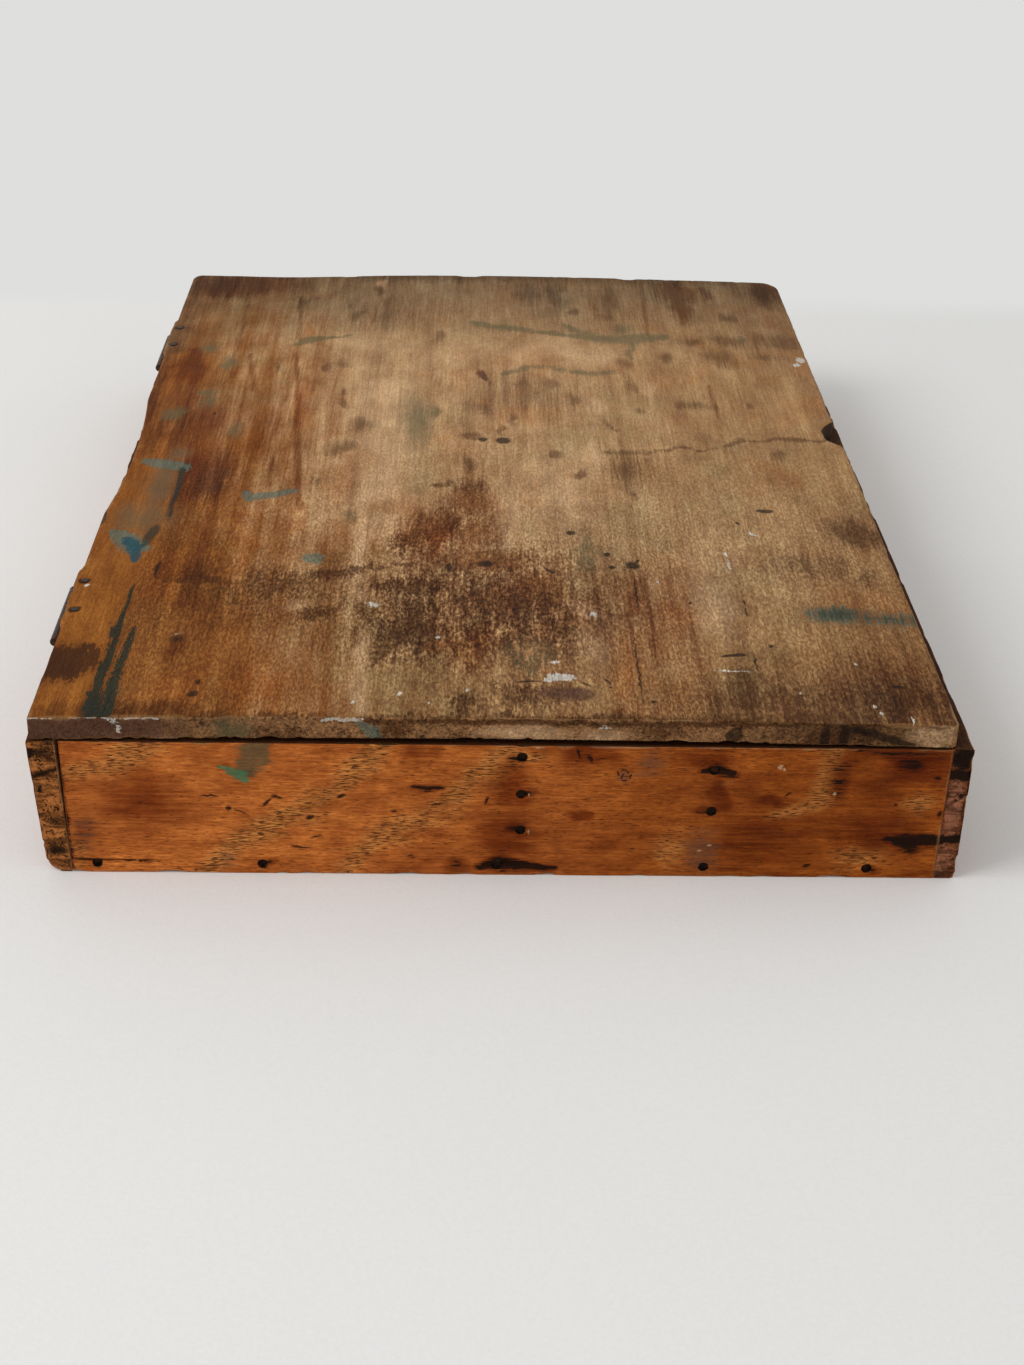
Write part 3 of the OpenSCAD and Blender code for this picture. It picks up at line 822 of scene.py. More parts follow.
# %% Umber towards the back and the hinges
UMBER_STAIN += [
    Blot("back streak", (14, 160), (7, 20), 0, 0.9),
    Blot("back streak, second", (26, 155), (4, 26)),
    Blot("back streak, third", (46, 150), (7, 24), 0, 0.7),
    Blot("back streak, right", (88, 161), (3, 11), 0, 1.1),
    Blot("back right", (112, 162), (12, 20)),
    Blot("far spot", (32, 135), (2.2, 5), 0, 1.3),
    Blot("far spot, right", (94, 132), (4, 6), 0, 1.1),
    Blot("far spot, middle", (45, 130), (5, 6), 0, 0.8),
    Blot("right blot", (87, 88), (7, 11), 0, 1.1),
    Blot("left of it", (66, 87), (5, 6)),
    Blot("right of it", (105, 90), (9, 6), 0, 0.7),
    Blot("right rim, back", (111, 106), (15, 12)),
    Blot("next to it", (90, 106), (9, 8), 0, 0.9),
    Blot("and next", (76, 104), (5, 6), 0, 0.9),
    Blot("far left upright", (-62, 71), (3.2, 8), 0, 1.3),
    Blot("its wing", (-57, 75), (5, 5), 0, 0.9),
    Blot("thin left", (-81.5, 72), (2, 8), 6, 1.2),
    Blot("far dash", (-22.5, 105), (3, 7), 0, 1.2),
    Blot("back left", (-54.5, 127), (2.6, 6), 0, 1.3),
    Blot("back left, small", (-57, 139), (1.8, 5), 0, 1.1),
    Blot("back left, smudge", (-77, 141), (3, 8), 0, 0.9),
    Blot("under the pale fleck", (-46.5, 157), (2.4, 8), 0, 1.3),
    Blot("rear screw", (-123, 112), (4.5, 9), 0, 1.2),
    Blot("rear screw, front", (-124, 96), (3.4, 6), 0, 1.2),
    Blot("back grey", (-42, 130), (14, 22), 0, 0.5),
    Blot("back rim", (0, 179), (150, 12)),
    # The lid darkens along its left rim, from the front to the back corner.
    Blot("left rim", (-126, 20), (5, 60)),
    Stroke("left rim, back", [(-127, 178), (-127, 60)], [13, 8], 0.8),
    Blot("left brown", (-96, -26), (9, 26), 0, 0.5),
    Blot("left, above", (-112, 10), (14, 22), 0, 0.6),
]
print("umber marks in all:", len(UMBER_STAIN))

# %% Red stains, dark lines and rust on the lid
RED_STAIN = [
    Blot("far left", (-115, 72), (8, 20), 0, 1.3),
    Stroke("dark thread", [(-114, 90), (-112, 56)], [2.4, 2.0], 1.5),
    Blot("left brown", (-98, -24), (13, 34), 0, 1.1),
    Blot("left middle", (-104, 22), (20, 34), 0, 0.7),
    Blot("back left corner", (-106, 164), (34, 18), 0, 1.5),
    Blot("back right", (75, 162), (12, 20), 0, 1.3),
    Blot("its tail", (75, 138), (5, 18), 0, 0.9),
    Blot("back right corner", (113, 166), (12, 18), 0, 1.1),
    Blot("purple dab", (-4.5, 64), (2.4, 8), 15, 0.9),
    Blot("pool", (11, -107), (14, 22), 0, 1.2),
    Blot("red band", (37, -110), (6, 28)),
    Blot("plume", (-20, -64), (12, 24), -25, 1.2),
    Blot("top of the plume", (-10, -46), (9, 20), -14, 1.1),
    Blot("right of the plume", (-7, -68), (10, 22)),
    Blot("foot of the plume", (-8, -89), (28, 13), 0, 1.2),
    Blot("front right corner", (112, -162), (24, 28), 0, 0.8),
    Blot("under the hinge spot", (-92, -142), (6, 7), 0, 0.8),
    Blot("front drop", (30.5, -174.5), (3, 2.2), 0, 1.6),
    Blot("dull band", (48, -108), (7, 40), 0, 0.7),
    Blot("foot of the cloud", (-2, -136), (12, 12), 0, 0.7),
    Blot("brown left of the shake", (-78, 6), (7, 40), 0, 0.5),
    Blot("brown, far left", (-110, 40), (18, 50), 0, 0.5),
    Blot("brown, front left", (-94, -75), (10, 34), 0, 0.3),
    Blot("cloud", (0, -116), (50, 40), 0, 0.75),
]
DARK_LINES = [
    Stroke("shake", [(-76, 85), (-71, 40), (-68, 0), (-65, -40), (-63, -52)],
           [1.0, 1.4, 1.6, 1.6, 1.2], 1.2),
    Stroke("beside the shake", [(-75.5, -10), (-75, -34)], [1.0, 1.0], 0.7),
    Stroke("dark line", [(-93, 85), (-88, 48)], [1.4, 1.6], 0.8),
    Stroke("line by the strip", [(-105, 2), (-104.5, -58)], [1.0, 1.4]),
    Stroke("by the far streak", [(-79, 150), (-76, 100)], [1.2, 1.2], 0.7),
    Stroke("far left", [(-100, 140), (-98, 60)], [1.2, 1.4], 0.6),
    Stroke("in the cloud", [(2, -85), (4, -150)], [1.2, 1.2], 0.7),
    Stroke("right of the cloud", [(43, -92), (43, -150)], [1.2, 1.2], 0.8),
    Stroke("right of it", [(54, -90), (55, -165)], [1.0, 1.2], 0.6),
    Stroke("far right", [(79, 60), (78, -20)], [1.0, 1.0], 0.5),
    Stroke("back", [(-46, 175), (-48, 120)], [1.2, 1.0], 0.7),
    Stroke("right back", [(62, 175), (60, 110)], [1.4, 1.0], 0.6),
]
RUST_GLOW = [
    Blot("in the plume", (-18, -74), (4.5, 15), -5, 1.3),
    Blot("at the foot", (-16, -140), (8, 4), 25, 1.4),
    Blot("under the cloud", (-9, -139), (9, 15), 0, 0.8),
    Blot("front left", (-70, -163), (24, 14), 0, 0.45),
    Blot("front stripe", (35, -152), (4.5, 30), 0, 0.8),
    Blot("left streak", (-79, -76), (4, 34), 0, 0.9),
    Blot("left streak, next", (-66, -66), (3, 24), 0, 0.6),
    Blot("far streak", (-72, 110), (2.2, 16), 0, 0.9),
    Blot("middle streak", (-70, 30), (4, 34), 4, 0.6),
    Blot("by the red band", (50, -122), (5, 22), 0, 0.1),
]
print("red, dark and rusty marks:", len(RED_STAIN + DARK_LINES + RUST_GLOW))

# %% Rubbed places on the lid
PALE_RUB = [
    Stroke("pale board", [(-38, 52), (-38, -44)], [13, 13], 0.55),
    Blot("pale heart", (-40, -28), (11, 44), 0, 0.8),
    Blot("over the plume", (-38, -60), (9, 16), 10, 1.1),
    Stroke("streak", [(-43.5, -58), (-43, -92), (-41, -112)], [2.6, 2.0, 1.8], 1.4),
    Blot("streak, front", (-39.5, -142), (2.6, 14), 0, 1.2),
    Blot("streak, rim", (-39, -168), (3.4, 12), 0, 0.8),
    Blot("light fleck", (2.5, -64), (2.2, 8), 0, 1.5),
    Stroke("thin streak", [(2.5, -70), (2, -100), (2.5, -126)], [1.4, 1.6, 1.2], 1.3),
    Stroke("pink smear", [(17, -110), (22, -116), (28, -121)], [2.6, 3, 2.4], 1.4),
    Blot("upper left", (-48, 42), (3.6, 11), 0, 1.1),
    Blot("upper left, next", (-44, 46), (2.6, 6), 0, 1.1),
    Blot("chalky", (36, 37), (4.2, 8), 0, 1.8),
    Blot("long line", (33, 0), (1.6, 66)),
    Blot("short line", (57, 46), (1.4, 20)),
    Blot("front right", (62, -112), (9, 27), 0, 0.8),
    Blot("right of the cloud", (25, -138), (7, 14), 0, 0.8),
    Blot("middle", (20, -38), (16, 34), 0, 0.6),
    Blot("far pale", (-46, 166), (2.6, 6), 0, 1.2),
    Blot("far middle", (22, 92), (46, 18), 0, 0.4),
    Blot("far left", (-44, 88), (22, 22), 0, 0.5),
    Blot("blush", (3, -44), (5, 20), 0, 0.7),
    Blot("grey lilac", (-60, -116), (5, 4), 0, 0.7),
]
print("rubbed places on the lid:", len(PALE_RUB))

# %% Paint on the lid
HINGE_WASH = [Stroke("strip along the hinges", [(-117.5, -190), (-117.5, -24)], [12.5, 12.5])]
GREY_GREEN_PAINT = [
    Stroke("smear", [(-8, 121), (5, 115), (15, 111), (26, 109), (40, 105), (54, 106), (65, 108)],
           [4, 4, 3.4, 3.4, 6, 7, 3.6]),
    Stroke("branch", [(28, 119), (37, 109)], [2.4, 3.6], 0.9),
    Stroke("drip", [(53, 104), (52, 84)], [3.4, 1.8], 0.9),
    Blot("spread", (50, 116), (8, 7), 0, 0.8),
    Stroke("arc", [(3, 66), (10, 72), (18, 75), (28, 70.5), (38, 68), (45, 70)],
           [2, 3, 3, 2.6, 2.6, 2], 0.75),
    Stroke("far arc", [(-77, 95), (-71, 100), (-65, 103), (-57, 105)], [2.8, 3, 2.4, 1.2], 1.1),
    Blot("right fleck", (98, 108), (1.8, 4), 0, 1.2),
    Blot("left fleck", (-109, 91), (3.4, 8)),
    Blot("left fleck, next", (-101, 74), (3.2, 9)),
    Blot("left dot", (-105.5, 46.5), (3.4, 4.2), 0, 1.2),
    Blot("under the dot", (-103, 39), (3.6, 7), 0, 0.6),
    Blot("left spot", (-114, 28), (5, 6.4)),
    Blot("left haze", (-91, 11), (5, 9), 0, 0.7),
    Blot("middle haze", (-28, 20), (7, 32), 8, 0.6),
    Blot("middle haze, dark", (-22, 30), (2.6, 9), 8, 1.0),
    Blot("haze by the spots", (26, -80), (5, 18), 0, 0.6),
    Blot("front haze", (8, -146), (8, 10), 0, 0.5),
]
TEAL_PAINT = [
    Stroke("bar", [(-119, -13), (-112, -16), (-104.5, -18.5)], [2, 4, 4.2], 1.2),
    Stroke("dash", [(-83, -38), (-80, -43), (-74, -41), (-67.5, -37.5)], [1.2, 2.6, 2.6, 2.6], 1.2),
    Blot("dot", (-57.5, -86), (3.6, 3.4), 0, 1.1),
    Stroke("top of the wedge", [(-121, -66), (-116.5, -71), (-111.5, -79)], [1.6, 4.2, 4.4], 1.2),
    Blot("right smear", (97, -117.5), (9, 6)),
    Blot("right smear, end", (113, -119), (13, 5), 0, 0.5),
]
BLUE_PAINT = [
    Stroke("wedge", [(-115, -73), (-112.5, -78), (-111, -83), (-111, -88.5)], [2.4, 3.4, 2.6, 0.8], 1.1),
]
GREY_SMEAR = [
    Blot("under the bar", (-111, -32), (6.4, 19), 0, 1.3),
    Blot("over the wedge", (-113, -58), (11, 14), 0, 0.8),
    Blot("over the bar", (-107.5, -8), (5, 8)),
    Blot("left of the streak", (-47, -57), (3, 5), 0, 0.8),
]
DARK_GREY_SMEAR = [
    Blot("beside the wedge", (-108.5, -70), (2.2, 9), -6, 1.2),
    Stroke("rim of the strip", [(-105, -20), (-104.5, -56)], [1.2, 1.0]),
    Blot("over the right smear", (98, -117.5), (10, 6), 0, 0.45),
    Blot("over its end", (114, -119), (12, 4), 0, 0.3),
    Blot("burn on the rim", (-126, -56), (1.8, 8), 0, 1.6),
    Blot("burn, below", (-126.5, -71), (1.2, 5), 0, 1.4),
]
DARK_GREEN_PAINT = [
    Stroke("handle", [(-108.6, -103), (-108.8, -112), (-108.9, -120), (-109, -127)],
           [0.5, 0.9, 0.7, 0.8], 1.1),
    Stroke("spur", [(-111.8, -126), (-110.2, -134)], [0.6, 1.0]),
    Stroke("left tine", [(-109.2, -128), (-109.2, -145), (-109.6, -156), (-109.6, -168), (-109, -177)],
           [1.3, 1.4, 1.7, 2.4, 3.2], 1.2),
    Stroke("right tine", [(-104.8, -129), (-104.8, -138), (-105.3, -150), (-105.4, -176)],
           [0.7, 1.2, 1.6, 2.5], 1.2),
]
LEFT_SPLOTCH = [
    Blot("splotch", (-121.5, -149), (12, 12.5), 0, 1.2),
    Blot("spike", (-113.5, -151), (4, 2), 0, 0.9),
    Blot("spike above", (-117, -140), (2, 4), -40, 0.9),
]
LILAC_SMEAR = [
    Blot("crescent", (21.5, -165), (4.6, 4), 0, 1.4),
    Blot("its left", (15, -165), (6, 4), 0, 0.7),
    Blot("purple dab", (-4.5, 64), (1.8, 7), 15, 1.2),
]
green_and_blue = GREY_GREEN_PAINT + TEAL_PAINT + BLUE_PAINT + DARK_GREEN_PAINT
print("green and blue dabs on the lid:", len(green_and_blue))

# %% Specks on the lid
SOOT_SPOTS = [
    Blot("black spot", (2, 4.5), (3.2, 3.4)),
    Blot("beside it", (-5, 5), (1.8, 2), 0, 0.8),
    Blot("right spot", (22.3, -67), (2.0, 1.9)),
    Blot("lower spot", (40.3, -88.5), (2.7, 3.0)),
    Blot("its tail", (42, -85.5), (0.7, 1.8), -30),
    Blot("dot", (33, -81.5), (1.0, 1.6)),
    Blot("dot below", (34, -90), (1.1, 1.3)),
    Blot("short dash", (86, -48), (3.8, 1.9), 5),
    Blot("dot right", (76, -57.5), (1.1, 1.3)),
    Blot("left front dot", (-83.5, -166.5), (1.8, 2.3)),
    Blot("dot above it", (-83, -160), (1.2, 1.8), 0, 0.7),
    Blot("upright dash", (-103.3, -93), (0.9, 6.5)),
    Blot("hinge spot", (-91.5, -136), (3.2, 3.6), 0, 0.4),
    Blot("spot in the cloud", (-4.5, -89), (3.0, 2.8), 0, 0.9),
    Blot("drop in the cloud", (-15.5, -91.5), (1.3, 3.0), 0, 0.8),
    Blot("slanting drop", (14.8, -92.8), (0.9, 2.6), 35),
    Blot("line by the white dab", (7, -159), (4.5, 0.7), 5, 0.8),
    Blot("right of the white dab", (22.4, -160), (0.5, 2.0), 45),
    Blot("front scratch", (28.8, -158.4), (0.5, 2.0), 22),
    Blot("front scratch, foot", (29.4, -161.5), (0.4, 1.0)),
    Blot("scratched corner", (65, -142.8), (5, 0.8), 9),
    Blot("scratched corner, thick", (67, -142.3), (2.0, 1.2), 5),
    Blot("scratched corner, side", (70.9, -146.5), (0.45, 6), 0, 0.8),
    Blot("upright line", (72, -111), (0.45, 2.6)),
    Blot("upright line, below", (71.8, -117), (0.4, 3.4), 0, 0.9),
    Blot("dot", (55.8, -112), (0.8, 1.4), -30),
    Blot("dot", (76.5, -137), (0.9, 1.1), 0, 0.9),
    Blot("red dash", (108.8, -158), (2.4, 1.0), 0, 0.9),
    Blot("front dot", (40.6, -168.6), (0.9, 1.0)),
    Blot("far left dot", (-100, 27), (0.8, 1.4)),
    Blot("line in the grain", (40.2, -106), (0.45, 13), 0, 0.9),
    Blot("line in the grain, front", (37.6, -150), (0.4, 26), 0, 0.7),
]
CHALK_FLECKS = [
    Blot("white dab", (16, -156.4), (4.8, 2.3), 0, 1.4),
    Blot("its left", (12.8, -157.8), (2.0, 1.4), 30, 1.2),
    Blot("over it", (14.5, -148.3), (1.6, 0.9), 20),
    Blot("end of the streak", (-37.4, -115.6), (2.6, 2.0), 0, 0.6),
    Blot("in the smear", (26.6, -120), (2.2, 1.8), -20, 0.5),
    Blot("right rim", (117.5, 88), (2.2, 3.8)),
    Blot("right rim, below", (115, 83), (1.4, 2.4), -20, 0.8),
    Blot("light scratch", (64, -151.4), (6.5, 0.5), 0, 0.42),
    Blot("by the screw", (-122.6, -103), (0.9, 1.4), -30),
    Blot("on the hinge spot", (-92.4, -133.6), (1.4, 0.5), 25, 0.3),
    Blot("right hook", (69.6, -79.6), (0.9, 1.7)),
    Blot("right hook, below", (70.2, -87), (0.6, 4), 0, 0.6),
    Blot("right scratch", (79.8, -65), (0.6, 2.4), 35),
    Blot("speck", (47.1, -99.2), (0.6, 1.2)),
    Blot("front speck", (-28, -166.3), (0.8, 1.1), -30),
    Blot("front speck", (-9.6, -163.8), (0.6, 1.0), 30),
    Blot("front speck", (-19.8, -171), (0.6, 0.9)),
    Blot("front speck", (-40.4, -170.6), (0.7, 1.0)),
    Blot("right speck", (99, -146), (0.6, 1.0)),
    Blot("right speck", (80.8, -162.8), (0.6, 0.9)),
    Blot("right speck", (100.5, -168.6), (0.7, 1.0)),
    Blot("right speck", (101.8, -172.5), (0.6, 0.9)),
    Blot("right scratch", (109.6, -175.4), (0.4, 2.6)),
    Blot("speck", (-18, -135), (0.9, 1.0)),
]
print("specks on the lid:", len(SOOT_SPOTS + CHALK_FLECKS))

# %% The front edge of the lid
EDGE_DARK = [
    Blot("knot", (61.5, 46.5), (2.4, 2.8), 0, 2.4),
    Blot("upright stain", (86, 46), (1.4, 5), 0, 1.4),
    Blot("upright stain, next", (91, 46), (1.6, 5), 0, 1.6),
    Stroke("slanting stain", [(94, 48.8), (104, 45.5), (110, 43.8)], [1.6, 1.4, 1.0]),
    Blot("dot", (-79.5, 48.6), (0.9, 0.9), 0, 1.5),
    Blot("hole", (-21, 45), (0.9, 1.2), 0, 1.4),
    Blot("hole", (24.5, 48.2), (1.0, 0.8), 0, 1.2),
]
EDGE_UMBER = [
    Blot("dark patch", (-29, 47), (6, 3.6), 0, 1.2),
    Blot("right dark", (90, 46), (26, 6), 0, 0.9),
    Blot("middle dark", (42, 47), (9, 4), 0, 0.7),
    Blot("left dark", (-62, 45), (16, 4), 0, 0.5),
    Stroke("shadow under the arris", [(-36, 49.8), (118, 49.9)], [1.2, 1.2], 1.2),
    Blot("small stain", (-12, 45), (3, 2), 0, 0.9),
]
EDGE_PALE = [
    Blot("by the hole", (6, 46.4), (13, 3.4)),
    Blot("next", (28, 45.6), (8, 2.6), 0, 0.9),
    Blot("right corner", (114, 47), (8, 4), 0, 1.2),
]
EDGE_PURPLE = [Blot("left end", (-112, 46), (30, 8))]
EDGE_CHALK_AND_HIGHLIGHT = [
    # Pale lines along the top arris: pale worn wood, with a painted highlight where the rounded arris meets
    # the light.
    Stroke("worn arris, left", [(-127, 49.7), (-108, 50.0)], [0.35, 0.3], 1.4),
    Stroke("worn arris", [(-106, 50.0), (-91, 50.0)], [0.35, 0.3], 1.4),
    Stroke("drip", [(-103.5, 49.6), (-102, 47.5), (-101.6, 46)], [0.6, 0.9, 0.5]),
    Stroke("chipped arris", [(-48, 50.2), (-37.5, 50.3)], [0.45, 0.4], 1.6),
    Blot("fleck", (27, 48.5), (1.6, 0.8)),
]
EDGE_GREY_GREEN = [Blot("patch", (-72, 46.6), (7, 4.2))]
EDGE_GREEN = [Stroke("brush stroke", [(-38, 49), (-35, 46.6), (-33, 43.5)], [1.4, 2.2, 1.6], 1.3)]
print("dark and pale marks on the edge:", len(EDGE_DARK + EDGE_UMBER + EDGE_PALE + EDGE_CHALK_AND_HIGHLIGHT))

# %% Layers on the top and the front edge
LID_TOP_LAYERS = {
    "wash": (HINGE_WASH, 0.8, 6.0),
    "rust": (RUST_GLOW, 2.5, 9.0),
    "pale": (PALE_RUB, 1.2, 6.0),
    "red": (RED_STAIN, 2.5, 9.0),
    "lines": (DARK_LINES, 0.5, 25.0),
    "umber": (UMBER_STAIN, 2.0, 7.0),
    "grey": (GREY_SMEAR, 1.2, 6.0),
    "grey_green": (GREY_GREEN_PAINT, 1.5, 6.0),
    "teal": (TEAL_PAINT, 1.2, 6.0),
    "blue": (BLUE_PAINT, 0.6, 6.0),
    "dark_grey": (DARK_GREY_SMEAR, 0.5, 6.0),
    "splotch": (LEFT_SPLOTCH, 1.0, 5.0),
    "dark_green": (DARK_GREEN_PAINT, 0.35, 5.0),
    "lilac": (LILAC_SMEAR, 0.6, 6.0),
}
LID_EDGE_LAYERS = {
    "lilac": (EDGE_PURPLE, 0.8, 6.0),
    "umber": (EDGE_UMBER, 0.5, 4.0),
    "soot": (EDGE_DARK, 0.4, 3.0),
    "pale": (EDGE_PALE, 1.0, 4.0),
    "grey_green": (EDGE_GREY_GREEN, 0.8, 4.0),
    "teal": (EDGE_GREEN, 0.3, 3.0),
    "chalk": (EDGE_CHALK_AND_HIGHLIGHT, 0.3, 3.0),
}
print("layers on the top:", len(LID_TOP_LAYERS), "and on the edge:", len(LID_EDGE_LAYERS))

# %% The underside of the lid
UNDER_DIRT = [
    Stroke("on the front end", [(-118, -172), (118, -172)], [5, 5], 0.7),
    Stroke("on the back end", [(-118, 172), (116, 172)], [5, 5], 0.7),
    Stroke("on the left side", [(-122, -172), (-122, 172)], [5, 5], 0.8),
    Stroke("on the right side", [(121, -172), (117.5, 172)], [4, 4], 0.7),
    Stroke("on the centre divider", [(5.3, -168), (5.3, 168)], [3.4, 3.4], 0.45),
    Stroke("on the right divider", [(57.3, -168), (57.3, 168)], [3.4, 3.4], 0.45),
    Blot("thumb marks", (108, 18), (14, 22), 0, 0.7),
    Blot("smudge", (-60, 90), (22, 30), 0, 0.5),
    Blot("spot", (-30, -70), (3, 4), 0, 1.2),
    Blot("spot, next", (80, -40), (2.6, 3), 0, 1.2),
    Blot("run", (34, 60), (3, 14), 0, 0.9),
]
UNDER_RUST = [Blot("by a hinge", (-118, hinge), (12, 22)) for hinge in HINGE_Y]
UNDER_TEAL = [Blot("dab", (-14, -118), (6, 3), 10, 0.9), Blot("small dab", (90, 112), (3, 4), 0, 0.9)]
UNDER_LAYERS = {
    "umber": (UNDER_DIRT, 1.2, 7.0),
    "rust": (UNDER_RUST, 2.5, 9.0),
    "teal": (UNDER_TEAL, 1.2, 6.0),
    "grey_green": ([Blot("smear", (-70, -30), (16, 5), 8, 0.8)], 1.5, 6.0),
    "lilac": ([Blot("smear", (26, 128), (10, 4), -8, 0.8)], 0.6, 6.0),
    "chalk": ([Blot("white", (-40, 24), (4, 2), 20, 0.9)], 0.6, 5.0),
}
lid_top, lid_under = lid.on(UPRIGHT, HIGH), lid.on(UPRIGHT, LOW)
lid_edge = lid.on(ALONG_Y, LOW) & ~lid_top & ~lid_under
lid_marks = {"marked": (lid_top | lid_edge | lid_under).astype(float)}
carry(lid_marks, lid, lid_top, FACE_AXES["top"], LID_TOP_LAYERS, 200)
carry(lid_marks, lid, lid_under, FACE_AXES["top"], UNDER_LAYERS, 270)
carry(lid_marks, lid, lid_edge, FACE_AXES["front"], LID_EDGE_LAYERS, 250)
print("layers on the lid:", ", ".join(lid_marks))

# %% Colours of the lid
VARNISH_ORANGE = (0.252, 0.083, 0.014)
RUBBED_TAN = (0.385, 0.214, 0.098)
DULL_TAN = (0.320, 0.172, 0.073)
FRONT_BROWN = (0.240, 0.110, 0.037)
BACK_BROWN = (0.165, 0.096, 0.045)
WASH_OCHRE = (0.230, 0.073, 0.010)
PALE_TAN = (0.560, 0.350, 0.190)
GREY_BROWN = (0.135, 0.092, 0.046)
GREY_GREEN = (0.115, 0.095, 0.045)
TEAL = (0.090, 0.130, 0.100)
BLUE = (0.011, 0.058, 0.076)
SPLOTCH_BROWN = (0.044, 0.014, 0.004)
DARK_GREEN = (0.016, 0.025, 0.017)
LILAC = (0.088, 0.038, 0.024)
CHALK = (0.56, 0.51, 0.44)
# This near-black is soot on the lid, and also painted shade in the notch and on the tops of the ends and
# sides under the lid.
SOOT_AND_SHADE = (0.014, 0.008, 0.005)
END_BROWN = (0.255, 0.122, 0.050)
END_GOLD = (0.330, 0.170, 0.066)
BARE_PALE = (0.47, 0.29, 0.16)
UMBER_TINT = (0.24, 0.17, 0.12)
RED_TINT = (0.47, 0.28, 0.16)
RUST_TINT = (1.0, 0.66, 0.36)
OLIVE_TINT = (0.80, 0.88, 0.88)
print("umber leaves", UMBER_TINT, "of the wood's colour, and rust", RUST_TINT)

# %% Finish of the lid
END_LIGHT_X = (35, 100)
# Where the inner wall of the notch is painted near-black as shade.
NOTCH_SHADE_X, NOTCH_SHADE_SQUARED = (112, 114), (170, 110)


def worn_arrises(finish, colour, board, patchy, rim, rubbed, chipped):
    """Bare wood in patches along the arrises, and where flakes have broken off."""
    bare = finish.band(finish.wear("arris") + (board.blotch - 0.5) * patchy, *rim)
    colour = finish.mix(bare * rubbed, colour, BARE_PALE)
    return finish.mix(finish.wear("chipped") * chipped, colour, END_GOLD)


